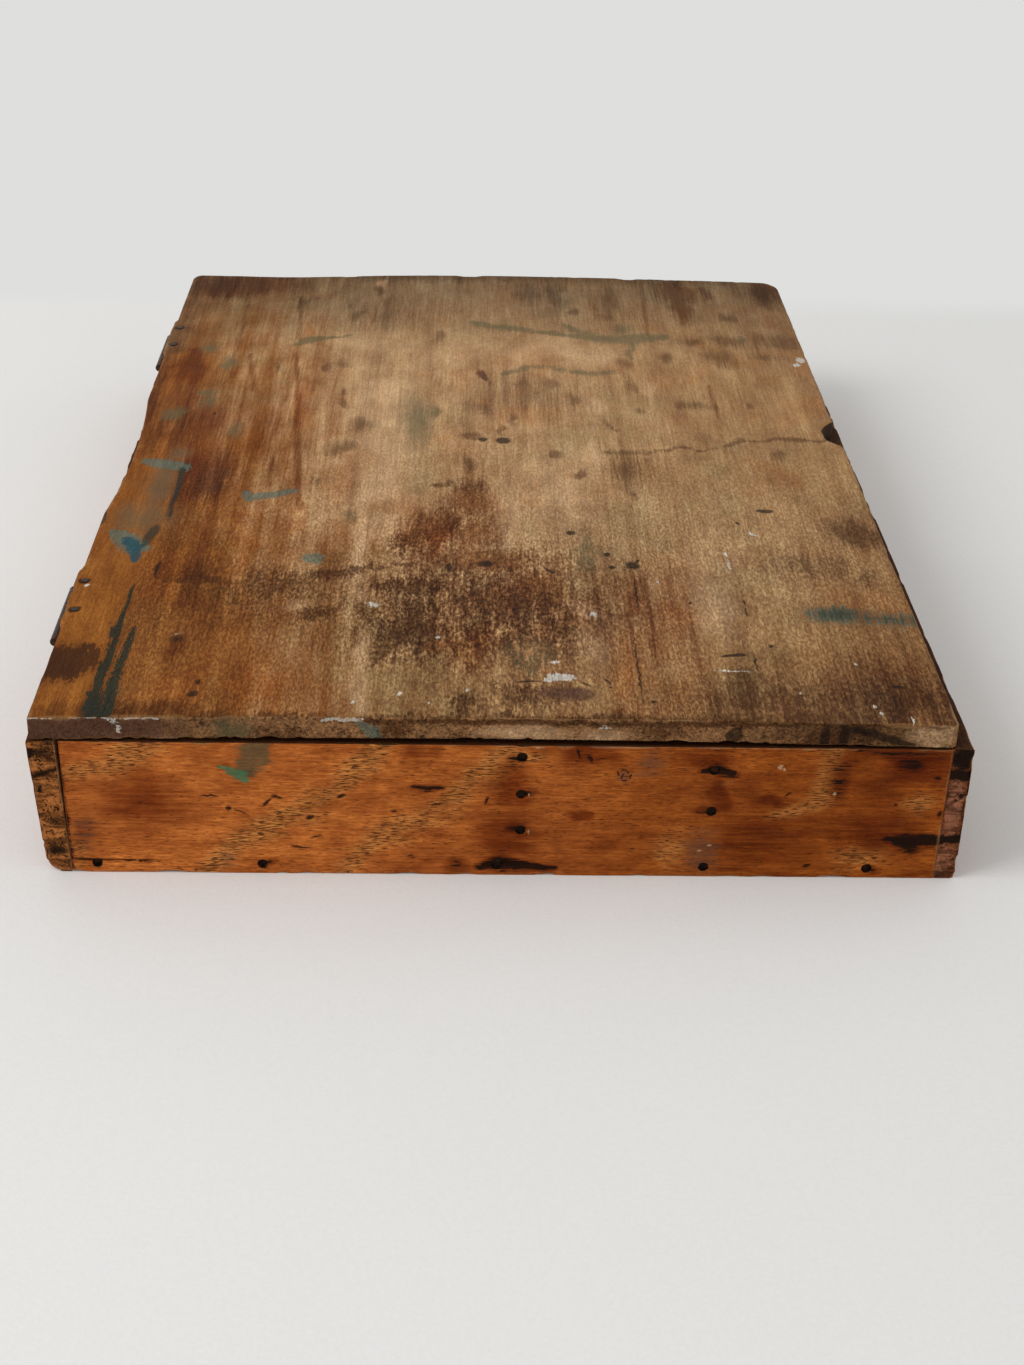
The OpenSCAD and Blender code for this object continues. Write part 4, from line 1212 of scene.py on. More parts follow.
def lid_finish():
    finish = Finish("old_lid_wood")
    marked, top, end = finish.wear("marked"), finish.wear("up"), finish.wear("end_grain")
    cloud = finish.noise((48, 85, 48), 4, 0.65)
    wash = finish.band(finish.wear("wash") + (cloud - 0.5) * 1.2, -0.05, 0.45) * top
    leathery = (0.45 + 0.75 * finish.band(finish.y, 50, -110)) * (1 - 0.5 * wash)
    board = wood(finish, ALONG_Y, leathery)

    wander = (board.blotch - 0.5) * 60 + (cloud - 0.5) * 60 + (board.streak - 0.5) * 110
    from_left = finish.x + 0.15 * finish.y + wander
    # The varnish: orange by the hinges, rubbed in the middle, browner at the front and the back.
    base = finish.mix(finish.band(from_left, -105, -35), VARNISH_ORANGE, RUBBED_TAN)
    base = finish.mix(finish.band(from_left, 25, 120), base, DULL_TAN)
    by_front = finish.band(finish.y + wander * 0.8, -60, -150)
    by_front = by_front * (0.2 + 0.5 * finish.band(from_left, -110, -50))
    base = finish.mix(by_front, base, FRONT_BROWN)
    base = finish.mix(finish.band(finish.y + wander * 0.5, 70, 175) * 0.85, base, BACK_BROWN)
    patchy = finish.noise((22, 38, 22), 3, 0.6)
    base = finish.mix(finish.band(patchy, 0.50, 0.66) * 0.7, base, OLIVE_TINT, "MULTIPLY")
    base = finish.mix(finish.band(patchy, 0.48, 0.34) * 0.3, base, RUST_TINT, "MULTIPLY")
    base = finish.mix(wash * 0.9, base, WASH_OCHRE)
    colour = finish.tone(base, 1.06 * board.light)
    # What breaks up the stains, most of all where the front is pitted.
    pitted = finish.band(finish.y, 0, -85) * finish.band(from_left, -120, -60)
    pitted = pitted * (1 - 0.7 * finish.band(finish.x, 5, 50))
    mottle = finish.noise((3, 10, 3), 3, 0.6)
    speckle = (0.5 - board.fleck) * (0.05 + 0.25 * pitted) + (board.blotch - 0.5) * 1.2
    speckle = speckle + (0.5 - mottle) * 1.6 * pitted
    speckle = speckle + (0.5 - board.fibre) * 0.7 + (0.5 - board.streak) * (1.2 - pitted)

    # The end grain.
    pits = finish.noise((1.1, 4, 0.8), 3, 0.65, curl=0.6)
    cut = finish.mix(finish.band(finish.x + (board.blotch - 0.5) * 40, 94, 112), END_BROWN, END_GOLD)
    cut = finish.shade(cut, (1.12 - 0.7 * finish.band(pits, 0.52, 0.36)) * (0.2 + 0.8 * board.light))
    cut = finish.shade(cut, 1.12 - 0.36 * finish.band(finish.x * finish.x, *(x * x for x in END_LIGHT_X)))
    colour = finish.mix(end, colour, cut)

    def stain(colour, layer, tint, strength, blend="MULTIPLY"):
        seen = finish.seen(finish.wear(layer), speckle, near=(-0.5, 0.2), rim=(-0.25, 0.8))
        return finish.mix(seen * marked * strength, colour, tint, blend)

    bristle = (board.fibre - 0.5) * 1.8 + (board.fleck - 0.5) * 0.5

    def paint(colour, layer, tint, strength, broken=0.5):
        seen = finish.seen(finish.wear(layer), broken * bristle, near=(-0.6, 0.0), rim=(-0.02, 0.4))
        return finish.mix(seen * marked * strength, colour, finish.shade(tint, 0.4 + 0.6 * board.light))

    # Stains first, then the paint over them.
    colour = stain(colour, "pale", finish.shade(PALE_TAN, board.light), 0.6, "MIX")
    colour = stain(colour, "rust", RUST_TINT, 0.6)
    colour = stain(colour, "red", RED_TINT, 0.85)
    fresh = 0.60 + 0.19 * finish.band(finish.y, 30, -60)
    colour = stain(colour, "umber", UMBER_TINT, fresh)
    soaked = finish.band(finish.wear("umber"), -0.1, 0.6) * top * pitted
    colour = finish.shade(colour, 1 + ((board.fleck - 0.45) * 0.5 + (mottle - 0.5) * 0.9) * soaked)
    colour = stain(colour, "lines", RED_TINT, 0.75)
    colour = stain(colour, "grey", GREY_BROWN, 0.65, "MIX")
    colour = stain(colour, "grey_green", GREY_GREEN, 0.7, "MIX")
    colour = paint(colour, "splotch", SPLOTCH_BROWN, 0.92, 0.8)
    colour = paint(colour, "teal", TEAL, 0.75, 0.9)
    colour = paint(colour, "blue", BLUE, 0.9, 1.0)
    colour = paint(colour, "dark_grey", DARK_GREEN, 0.75)
    colour = paint(colour, "dark_green", DARK_GREEN, 0.92, 1.5)
    colour = paint(colour, "lilac", LILAC, 0.8)
    colour = paint(colour, "soot", SOOT_AND_SHADE, 0.8, 0.8)
    colour = paint(colour, "chalk", CHALK, 0.85, 1.8)

    # Spots that are too small for the mesh, and the points of the screws.
    ragged = finish.bend(size=2.6, reach=0.5)
    screws = [Blot("screw point", (SCREW_X, y), (2.3, 2.3)) for y in SCREW_Y]
    for blots, tint, strength in ((SOOT_SPOTS + screws, SOOT_AND_SHADE, 0.85), (CHALK_FLECKS, CHALK, 0.9)):
        here = crisp(finish, ragged, "top", blots)
        seen = finish.seen(here, 0.5 * bristle, near=(-0.3, 0.0), rim=(0.0, 0.4)) * top
        colour = finish.mix(seen * strength, colour, finish.shade(tint, 0.4 + 0.6 * board.light))

    # Wear at the arrises, and painted shade in the notch: its inner wall is painted near-black, as if in
    # shadow.
    colour = worn_arrises(finish, colour, board, patchy=3.0, rim=(0.9, 1.5), rubbed=0.5, chipped=0.45)
    beside = finish.y - NOTCH["y"]
    notch_shade = finish.band(finish.x, *NOTCH_SHADE_X) * finish.band(beside * beside, *NOTCH_SHADE_SQUARED)
    colour = finish.mix(notch_shade * (1 - top) * 0.9, colour, SOOT_AND_SHADE)
    height = board.height + (pits - 0.5) * 0.6 * end
    rough = 0.72 - 0.15 * finish.band(cloud, 0.4, 0.7) + 0.15 * end
    return finish.out(Base_Color=colour, Roughness=rough, Height=height)


lid_wood = lid_finish()
piece("worn_lid", lid, lid_wood, "lid", "lid_board", lid_marks)

# %% [markdown]
# ## The ends of the box
#
# The front end is the face that the camera meets: a board of reddish wood between the two sides, its grain
# running across. Nails hold the dividers and the bottom, each set under the surface in a ragged hole. A
# split runs from the lower left corner through a nail, and knocks have left a round bruise and gouges.

# %% Shape of the ends
FOOT_NAIL_Z = 3.25
CENTRE_DIVIDER_X, RIGHT_DIVIDER_X = 5.3, 57.3
CENTRE_NAIL_Z, RIGHT_NAIL_Z = (38.9, 27.1, 15.3), (35.2, 21.9)
FOOT_NAIL_X = {
    "front_end": (-111, -65.6, -1, 56.4, 101.9),
    "back_end": (-111.2, -66.6, -3.2, 53.1, 97.7),
}
GOUGES = [
    ((3, 3.6), (9, 1.7), 0.9), ((57.8, 35.2), (3.6, 1.3), 1.0), ((33, 33.7), (3.2, 2.9), 0.35),
    ((75.5, 36.4), (1.6, 0.7), 0.35), ((93, 33), (2.2, 3.5), 0.2), ((116, 12), (7, 2.2), 0.3),
    ((-74, 5.5), (4, 1.2), 0.25), ((-62, 37), (5, 3), 0.12), ((20, 16), (8, 1.5), 0.12),
]
SPLIT_Z, SPLIT_FROM, SPLIT_TO = 4.2, -118.5, -86.0
SPLIT_HALF, SPLIT_DEPTH = 0.3, 0.8


def end_board(node, outside):
    """A short end with its nail holes; the front one has gouges and the split too."""
    low, high = node_box(node)
    nails = [(x, FOOT_NAIL_Z) for x in FOOT_NAIL_X[node]]
    nails += [(CENTRE_DIVIDER_X, z) for z in CENTRE_NAIL_Z] + [(RIGHT_DIVIDER_X, z) for z in RIGHT_NAIL_Z]
    split_rims = [SPLIT_Z - SPLIT_HALF / 2, SPLIT_Z + SPLIT_HALF / 2]
    board = Board(
        lines(low[0], high[0], 1.15, nails=sorted({x for x, z in nails})),
        lines(low[1], high[1], 1.4),
        lines(low[2], high[2], 0.95, nails=sorted({z for x, z in nails}), pairs=split_rims),
        grain=ALONG_X,
    )
    lumpy = lumps(board.flat, (12, 9, 9), 31)
    board.round_arrises(0.45 + 0.2 * lumpy)
    out = -1 if outside == LOW else 1
    face_y = (low, high)[outside][1]
    top, foot = (0, face_y, high[2]), (0, face_y, low[2])
    chips(board, ALONG_X, top, (0, out, 1), count=18, seed=32 + outside, half=(1, 5), depth=(0.3, 0.7))
    chips(board, ALONG_X, foot, (0, out, -1), count=14, seed=34 + outside, half=(1, 6))
    broad, fine = lumps(board.flat, (90, 9, 14), 35), lumps(board.flat, (30, 9, 2.5), 36)
    board.sink(ALONG_Y, outside, 0.06 * (1 + broad) + 0.03 * (1 + fine))
    if node == "front_end":
        for middle, size, depth in GOUGES:
            dent(board, ALONG_Y, outside, middle, size, depth)
        open_here = ease((board.flat[:, 0] - SPLIT_FROM) / 2) * ease((SPLIT_TO - board.flat[:, 0]) / 12)
        wander = 0.25 * lumps(board.flat, (9, 50, 50), 37)
        gap = np.clip(1 - np.abs(board.flat[:, 2] - SPLIT_Z - wander) / SPLIT_HALF, 0, 1)
        board.sink(ALONG_Y, outside, SPLIT_DEPTH * gap * open_here)
    for middle in nails:
        nail_hole(board, ALONG_Y, outside, middle)
    return board


front_end = end_board("front_end", LOW)
back_end = end_board("back_end", HIGH)
print("ends", len(front_end.quads), "and", len(back_end.quads), "quads")

# %% Clouds and burns on the front
FRONT_GOLD = [
    Stroke("far left", [(-122, 30), (-106, 35), (-94, 43)], [4, 6, 6]),
    Blot("left foot", (-116, 8), (4, 9), 0, 0.9),
    Stroke("first band", [(-79, 3), (-64, 15), (-46, 27), (-33, 43)], [5, 5.5, 5.5, 5]),
    Stroke("second band", [(-42, 5), (-28, 14), (-14, 23), (-5, 34), (4, 41)], [5, 5, 6, 6, 4]),
    Blot("by the second nail", (46, 9), (7, 7), 0, 0.7),
    Stroke("right band", [(74, 22), (86, 26), (90, 42)], [3, 5, 5], 0.8),
    Blot("right foot", (100, 7), (9, 4), 0, 0.6),
    Blot("right rim", (114, 25), (5, 4), 0, 0.7),
    Blot("under the lid", (8, 40), (6, 3)),
    Blot("over the right nail", (58, 30.5), (4, 1.6), 0, 0.7),
]
FRONT_RED_CLOUD = [
    Blot("left cloud", (-97, 25), (15, 13), 10, 0.9),
    Blot("left foot", (-112, 13), (6, 10), 0, 0.8),
    Blot("at the centre divider", (1, 14), (13, 14)),
    Blot("top of it", (2, 31), (7, 11)),
    Blot("under the lid", (22, 41), (13, 6), -6, 1.3),
    Blot("under the lid, left", (-22, 39), (6, 4), 0, 0.8),
    Blot("blotch", (22, 20), (3.6, 2.6), 10, 1.5),
    Blot("at the right divider", (57.5, 26), (4, 7), 0, 1.3),
    Blot("above it", (55, 40), (8, 6), 0, 0.8),
    Blot("right blotch", (72, 25), (9, 3.6), 0, 1.2),
    Blot("right", (70, 14), (20, 16), 0, 0.6),
    Blot("right rim", (112, 37), (12, 8), 0, 1.2),
    Blot("middle right", (101, 17), (18, 10), 0, 0.9),
    Blot("right, above", (100, 31), (20, 8), 0, 0.5),
    Blot("middle", (30, 12), (16, 10), 0, 0.4),
    Blot("foot", (-20, 5), (12, 5), 0, 0.5),
]
FRONT_BLACK = [
    Stroke("burn", [(106, 13.2), (112, 12.4), (122, 12.8)], [0.9, 2.6, 2.2], 2.2),
    Blot("foot of the burn", (113, 10.6), (4, 2), -10, 1.6),
    Stroke("gouge at the foot", [(-6, 3), (0, 3.8), (8, 3), (15, 2.4)], [1.4, 2.6, 1.7, 0.9], 1.8),
    Blot("left of it", (-12, 3.2), (2.8, 2), 0, 0.8),
    Stroke("gouge at the right nail", [(54, 35), (58, 35.4), (63, 33.8)], [1.0, 2.0, 1.0], 1.8),
    Stroke("long dash", [(-24, 29.4), (-20, 28.6), (-16.5, 28.8)], [0.9, 1.3, 0.9], 1.6),
    Stroke("hatching", [(91, 38), (91.4, 28)], [2.4, 1.6], 0.5),
    Blot("hatching, top", (93, 38.4), (3, 1.6), 10, 0.7),
    Blot("right top", (110, 37.4), (3.4, 1.8), -10, 0.9),
    Blot("under the lid", (105, 41.4), (12, 1.6), 0, 0.6),
    Blot("torn by the top nail", (3.8, 38.4), (2.4, 1.1), -15, 1.0),
    Blot("torn by the next", (6.9, 27.5), (2.2, 1.0), 10, 0.9),
    Blot("torn by the third", (4.0, 15.8), (2.4, 1.0), 8, 0.9),
    Blot("torn by the right nail", (55.4, 22.2), (2.8, 1.0)),
    Blot("torn by the foot nail", (-63.8, 3.9), (2.0, 1.1), 25, 1.0),
    Blot("torn by the corner nail", (103.4, 2.6), (2.2, 1.2), -20, 1.0),
    # A painted shade line for the wedge gap between the front end and the left side.
    Stroke("left joint", [(-118.2, 1), (-118.4, 20), (-118.8, 43)], [0.7, 0.9, 0.8], 1.4),
]
print("clouds and burns on the front:", len(FRONT_GOLD + FRONT_RED_CLOUD + FRONT_BLACK))

# %% Paint on the front, and layers of varnished boards
FRONT_VIOLET = [
    Blot("at the foot", (55.5, 9), (6, 8.5)),
    Blot("under the lid", (40, 37), (5, 6), 0, 0.7),
    Blot("left", (-113, 12), (5, 8), 0, 0.5),
    Blot("bruise", (33, 33.4), (3.2, 3.0)),
    Blot("torn fibres", (-75, 5), (2.4, 4), 10, 0.7),
]
FRONT_GREEN = [Stroke("dab", [(-65.5, 43), (-66.5, 38), (-69, 34)], [5, 5.6, 4], 1.2)]
FRONT_BRIGHT_GREEN = [
    Stroke("tip of the dab", [(-76.5, 34.9), (-73, 34.0), (-69.5, 33.0)], [0.4, 1.3, 1.6], 1.2),
    Stroke("foot of it", [(-74, 33.4), (-71, 32.4), (-68.6, 31)], [0.5, 1.5, 0.9], 1.2),
]
VARNISH_LAYERS = {
    "gold": (2.0, 8.0),
    "red": (2.5, 8.0),
    "black": (0.3, 3.0),
    "violet": (0.8, 5.0),
    "green": (0.8, 4.0),
    "bright_green": (0.4, 3.0),
}


def varnish_layers(**marks):
    """The layers of a varnished board: the marks in each, and how their rims wander."""
    return {layer: (marks.get(layer, []), *wander) for layer, wander in VARNISH_LAYERS.items()}


FRONT_LAYERS = varnish_layers(
    gold=FRONT_GOLD,
    red=FRONT_RED_CLOUD,
    black=FRONT_BLACK,
    violet=FRONT_VIOLET,
    green=FRONT_GREEN,
    bright_green=FRONT_BRIGHT_GREEN,
)
print("layers on the front:", ", ".join(FRONT_LAYERS))

# %% Dashes and flecks on the front
FRONT_DASHES = [
    Blot("hooked dash", (-63.4, 23.8), (2.4, 0.6), 45),
    Blot("hooked dash, top", (-60.8, 25.4), (2.4, 0.7), -8, 0.9),
    Blot("short dash", (-43.3, 26.1), (1.9, 0.7), 25),
    Blot("spot", (-52, 18.9), (1.6, 1.1), 20, 0.9),
    Blot("thin dash", (-79, 25.6), (3.2, 0.45), -3, 0.9),
    Blot("left spot", (-74, 21.7), (1.0, 0.8)),
    Blot("its tail", (-71, 20.6), (2.4, 0.4), -22, 0.8),
    Blot("low dash", (-55, 9), (3.8, 0.5), -12, 0.8),
    Blot("low dash, right", (-50.5, 12.6), (2, 0.6), 10, 0.5),
    Blot("red dash", (-29.4, 21.1), (1.6, 0.7), 0, 0.7),
    Blot("fibre", (-18, 23.5), (2.0, 0.4), 0, 0.7),
    Blot("slanting", (-4, 25), (0.4, 1.4), -25, 0.7),
    Blot("crack under the lid", (20.3, 40.4), (0.5, 2.0), 18),
    Blot("crack under the lid, next", (23.6, 38.6), (0.6, 1.6), 25),
    Blot("right dash", (77.7, 27.6), (1.4, 0.45), 40, 0.9),
    Blot("right top, next", (118, 33.5), (1.8, 0.8)),
    Blot("right spot", (107.6, 24.4), (0.7, 0.7), 0, 0.9),
    Blot("rim spot", (119.8, 22), (0.7, 1.2), 0, 0.9),
    Blot("foot spot", (85, 4), (1.4, 0.9), 20, 0.8),
    Blot("foot dash", (-25, 6.5), (1.6, 0.5), 0, 0.6),
    Blot("split", (-112.5, SPLIT_Z), (8, 0.5), 0, 0.9),
    Blot("split, thin", (-101, SPLIT_Z - 0.2), (9, 0.35), 0, 0.8),
    Blot("bruise", (31.3, 34.0), (0.35, 1.2), 20, 0.9),
    Blot("bruise, next", (32.5, 32.8), (0.35, 1.2), -18, 0.9),
    Blot("bruise, third", (33.7, 34.2), (0.35, 1.0), 30, 0.9),
    Blot("bruise, fourth", (34.7, 33.0), (0.35, 1.1), -10, 0.9),
    Blot("bruise, foot", (33.2, 31.6), (1.0, 0.3), 0, 0.8),
    Blot("bruise, top", (32.6, 35.4), (1.0, 0.3), 10, 0.8),
]
FRONT_FLECKS = [
    Blot("fleck", (74.8, 36.5), (1.0, 0.7), 20, 1.2),
    Blot("fleck, next", (76.1, 35.9), (0.7, 0.5), -25, 1.0),
    Blot("nail head in the gouge", (-0.5, 3.9), (0.6, 1.0), 10, 1.2),
    Blot("speck", (90.5, 28), (0.4, 0.7)),
    Blot("speck by the foot", (55, 9), (0.8, 0.4), 0, 0.5),
    Blot("speck by the foot, next", (57.6, 10.6), (0.5, 0.4), 0, 0.5),
    Blot("rim of a nail", (7.4, 26.8), (0.35, 0.9), 0, 0.6),
    Blot("rim of a nail, below", (7.6, 14.6), (0.35, 1.0), 0, 0.6),
    Blot("chip under the lid", (9.8, 42), (1.6, 0.35), 0, 0.8),
]
print("dashes on the front:", len(FRONT_DASHES), "and flecks:", len(FRONT_FLECKS))

# %% Marks on the back
BACK_GOLD = [
    Stroke("left band", [(-110, 2), (-92, 18), (-74, 43)], [5, 6, 5], 0.9),
    Stroke("middle band", [(14, 2), (30, 18), (52, 43)], [5, 5, 6], 0.8),
    Blot("right foot", (96, 9), (12, 7), 0, 0.7),
]
BACK_RED_CLOUD = [
    Blot("at the centre divider", (4, 22), (13, 20), 0, 0.9),
    Blot("at the right divider", (57, 28), (8, 14), 0, 0.9),
    Blot("left", (-95, 30), (26, 14), 0, 0.7),
    Blot("right", (104, 28), (18, 14), 0, 0.9),
    Blot("foot", (-30, 5), (40, 6), 0, 0.6),
]
BACK_BLACK = [
    Stroke("scratch", [(-60, 30), (-44, 26.5)], [1.0, 1.2]),
    Blot("knock", (82, 15), (3, 1.8), 20, 0.9),
    Stroke("at the foot", [(44, 3), (52, 3.4), (62, 2.8)], [1.0, 2.2, 1.0]),
    Blot("spot", (-20, 14), (1.8, 1.3)),
]
BACK_GREEN = [Stroke("drip", [(22, 43), (22.5, 33), (21.8, 28)], [2.6, 2.0, 1.4])]
BACK_LAYERS = varnish_layers(
    gold=BACK_GOLD,
    red=BACK_RED_CLOUD,
    black=BACK_BLACK,
    violet=[Blot("haze", (-6, 12), (8, 8), 0, 0.6)],
    green=BACK_GREEN,
)
front_marks, back_marks = {}, {}
carry(front_marks, front_end, front_end.on(ALONG_Y, LOW), FACE_AXES["front"], FRONT_LAYERS, 300)
carry(back_marks, back_end, back_end.on(ALONG_Y, HIGH), FACE_AXES["front"], BACK_LAYERS, 350)
print("marks on the front:", sum(len(several) for several, _, _ in FRONT_LAYERS.values()))

# %% Colours of the ends
FRONT_ORANGE = (0.490, 0.135, 0.025)
FRONT_RED = (0.298, 0.070, 0.008)
FRONT_GOLD_WOOD = (0.530, 0.205, 0.050)
FRONT_DEEP = (0.010, 0.004, 0.002)
PORE_BROWN = (0.050, 0.014, 0.004)
INNER_WOOD = (0.300, 0.160, 0.075)
DULL_GREEN = (0.088, 0.100, 0.050)
BRIGHT_GREEN = (0.080, 0.225, 0.105)
VIOLET = (0.170, 0.078, 0.042)
NAIL_BLACK = (0.006, 0.003, 0.002)
CLOUD_TINT = (0.40, 0.24, 0.13)
SCORCH_TINT = (0.40, 0.28, 0.20)
# The change from orange on the left to red on the right is painted light from the left, over the varnish's
# own orange and red.
print("the varnish goes from", FRONT_ORANGE, "on the left to", FRONT_RED, "on the right")


# %% Old varnish
def varnished(finish, axis, base):
    """Old varnish with the marks that a board carries; also gives its strands, its wood and its height."""
    board = wood(finish, axis, leathery=0.3, streaky=0.4)
    strand = finish.noise(along(axis, 0.75, 13), 3, 0.62)
    mottle = finish.noise(along(axis, 4, 10), 4, 0.62)
    grain = finish.noise(along(axis, 0.42, 3.2), 3, 0.65)
    pores = finish.noise(along(axis, 0.3, 2.6), 1, 0.5)
    gold = finish.band(finish.wear("gold") + (strand - 0.5) * 1.2 + (board.blotch - 0.5) * 1.4, -0.1, 0.8)
    base = finish.mix(gold * 0.6, base, FRONT_GOLD_WOOD)
    light = board.light * (0.75 + 0.62 * strand) * (0.3 + 1.42 * mottle) * (0.15 + 1.75 * grain)
    colour = finish.tone(base, light)

    def lay(colour, layer, tint, strength, rim, blend="MIX", ragged=1.0):
        breaks = ((strand - 0.5) * 1.6 + (grain - 0.5) * 1.2) * ragged + (board.blotch - 0.5) * 0.8
        seen = finish.seen(finish.wear(layer), breaks, near=(-0.7, 0.1), rim=rim)
        return finish.mix(seen * strength, colour, tint, blend)

    colour = lay(colour, "red", CLOUD_TINT, 0.9, (-0.1, 0.8), "MULTIPLY")
    colour = lay(colour, "violet", VIOLET, 0.6, (0.0, 0.6))
    open_pores = finish.band(pores + 0.13 * gold + (board.blotch - 0.5) * 0.2, 0.66, 0.76)
    colour = finish.mix(open_pores * 0.85, colour, PORE_BROWN)
    threads = finish.band(finish.noise(along(axis, 0.5, 5), 2, 0.5), 0.66, 0.78)
    colour = finish.mix(threads * 0.65, colour, SCORCH_TINT, "MULTIPLY")
    colour = lay(colour, "green", finish.shade(DULL_GREEN, board.light), 0.75, (0.0, 0.5))
    colour = lay(colour, "bright_green", finish.shade(BRIGHT_GREEN, board.light), 0.85, (0.0, 0.4))
    colour = lay(colour, "black", SCORCH_TINT, 0.8, (-0.9, 0.1), "MULTIPLY")
    colour = lay(colour, "black", FRONT_DEEP, 0.95, (0.15, 0.7), ragged=2.2)
    return colour, strand, board, board.height + (grain - 0.5) * 0.3 - 0.2 * open_pores


print("varnished boards can carry:", ", ".join(VARNISH_LAYERS))

# %% Finish of the ends
END_INSIDE_Y, FRONT_FACE_Y = (174, 172), (-176, -177)


def end_finish():
    finish = Finish("old_end_wood", roughness=0.55, gloss=0.05)
    cloud = finish.noise((46, 60, 18), 4, 0.6)
    # Lighter orange on the left, darker red to the right: painted light, for the light that falls from the
    # left; the back end gets it too.
    base = finish.mix(finish.band(finish.x + (cloud - 0.5) * 130, -55, 85), FRONT_ORANGE, FRONT_RED)
    inside = finish.band(finish.y * finish.y, *(y * y for y in END_INSIDE_Y))
    base = finish.mix(inside, base, INNER_WOOD)
    colour, strand, board, height = varnished(finish, ALONG_X, base)
    outside = finish.band(finish.y, *FRONT_FACE_Y)
    ragged = finish.bend(size=2.2, reach=0.35)
    for blots, tint in ((FRONT_DASHES, FRONT_DEEP), (FRONT_FLECKS, BARE_PALE)):
        here = crisp(finish, ragged, "front", blots)
        seen = finish.seen(here, strand - 0.5, near=(-0.4, 0.0), rim=(-0.05, 0.5)) * outside
        colour = finish.mix(seen * 0.9, colour, tint)
    nailed = finish.band(finish.wear("nailed") + (strand - 0.5) * 1.6, 0.3, 0.7)
    colour = finish.mix(nailed, colour, NAIL_BLACK)
    colour = worn_arrises(finish, colour, board, patchy=2.0, rim=(0.85, 1.4), rubbed=0.35, chipped=0.5)
    # The top edge of each end, under the lid, is painted near-black: painted shade of the gap between lid
    # and box.
    colour = finish.mix(finish.wear("up") * 0.9, colour, SOOT_AND_SHADE)
    rough = 0.55 + 0.2 * inside + (board.blotch - 0.5) * 0.3
    return finish.out(Base_Color=colour, Roughness=rough, Height=height)


end_wood = end_finish()
piece("worn_front_end", front_end, end_wood, "box", "front_end", front_marks)
piece("worn_back_end", back_end, end_wood, "box", "back_end", back_marks)

# %% [markdown]
# ## The long sides
#
# The sides run the whole length, so their end grain shows at both corners of the front: rough and pitted on
# the left, dark on the right. The left side leans in a little towards its foot, which leaves a dark wedge
# of a gap beside the front end, and it has shallow beds for the hinge leaves.

# %% Shape of the sides
CORNER_NAIL_Y, CORNER_NAIL_Z = (-174.0, 174.0), (9.0, 21.35, 33.7)
SIDE_FOOT_NAIL_Y = (-128.0, -42.67, 42.67, 128.0)
LEFT_TOP, LEFT_FOOT = (-127.0, -119.4), (-125.0, -118.2)
ROUND_FOOT = {"x": -123.0, "z": 4.2, "fade": 1.2, "r": 2.8}
BACK_NARROWING = 4.5
DEEP_FLAKES = (0.4, 0.9)
side_nails = [(y, z) for y in CORNER_NAIL_Y for z in CORNER_NAIL_Z]
side_nails += [(y, FOOT_NAIL_Z) for y in SIDE_FOOT_NAIL_Y]


def side_board(node, x_range, outside, seed, cuts=()):
    """A long side, worn at its arrises and pitted at both ends, with its nail holes."""
    low, high = node_box(node)
    board = Board(
        lines(*x_range, 1.3, pairs=[LEAF_RIM_X] if cuts else ()),
        lines(low[1], high[1], 1.9, nails=sorted({y for y, z in side_nails}), pairs=cuts),
        lines(low[2], high[2], 1.3, nails=sorted({z for y, z in side_nails})),
        grain=ALONG_Y,
    )
    radius = 0.6 + 0.3 * lumps(board.flat, (9, 16, 9), seed)
    if node == "left_side":
        foot = ease((ROUND_FOOT["z"] - board.flat[:, 2]) / ROUND_FOOT["fade"])
        foot = foot * (board.flat[:, 0] < ROUND_FOOT["x"])
        radius = radius + foot * (ROUND_FOOT["r"] - radius)
    board.round_arrises(radius)
    out = -1 if outside == LOW else 1
    face_x = x_range[outside]
    for z, up, count, draws in ((high[2], 1, 30, seed + 1), (low[2], -1, 20, seed + 2)):
        chips(board, ALONG_Y, (face_x, 0, z), (out, 0, up), count, draws, half=(1.5, 8), depth=DEEP_FLAKES)
    for end, y, facing in ((LOW, low[1], -1), (HIGH, high[1], 1)):
        arris = (face_x, y, 0), (out, facing, 0)
        chips(board, UPRIGHT, *arris, count=9, seed=seed + 3 + end, half=(1, 4), depth=DEEP_FLAKES)
        pits = np.clip(lumps(board.flat, (0.9, 9, 1.1), seed + 5 + end), 0, 1) ** 2
        board.sink(ALONG_Y, end, 0.7 * pits + 0.2 * (1 + lumps(board.flat, (3, 9, 7), seed + 7 + end)))
    board.sink(ALONG_X, outside, 0.07 * (1 + lumps(board.flat, (9, 120, 12), seed + 9)))
    for middle in side_nails:
        nail_hole(board, ALONG_X, outside, middle)
    return board


left_side = side_board("left_side", LEFT_TOP, LOW, 51, hinge_cuts)
lean = 1 - left_side.flat[:, 2] / left_side.high[2]
across = (left_side.flat[:, 0] - LEFT_TOP[0]) / (LEFT_TOP[1] - LEFT_TOP[0])
foot_shift = np.array(LEFT_FOOT) - np.array(LEFT_TOP)
left_side.at[:, 0] += lean * (foot_shift[0] + (foot_shift[1] - foot_shift[0]) * across)
BED_FROM = 30.0
share_down = np.clip((left_side.flat[:, 2] - BED_FROM) / (left_side.high[2] - BED_FROM), 0, 1)
left_side.at[:, 2] -= np.where(by_hinge(left_side.flat), LEAF_T * share_down, 0)

RIGHT_X = (121.0, 127.0)
right_side = side_board("right_side", RIGHT_X, HIGH, 71)
depth_in = (right_side.flat[:, 1] - right_side.low[1]) / (right_side.high[1] - right_side.low[1])
right_side.at[:, 0] -= BACK_NARROWING * depth_in
print("sides", len(left_side.quads), "and", len(right_side.quads), "quads")

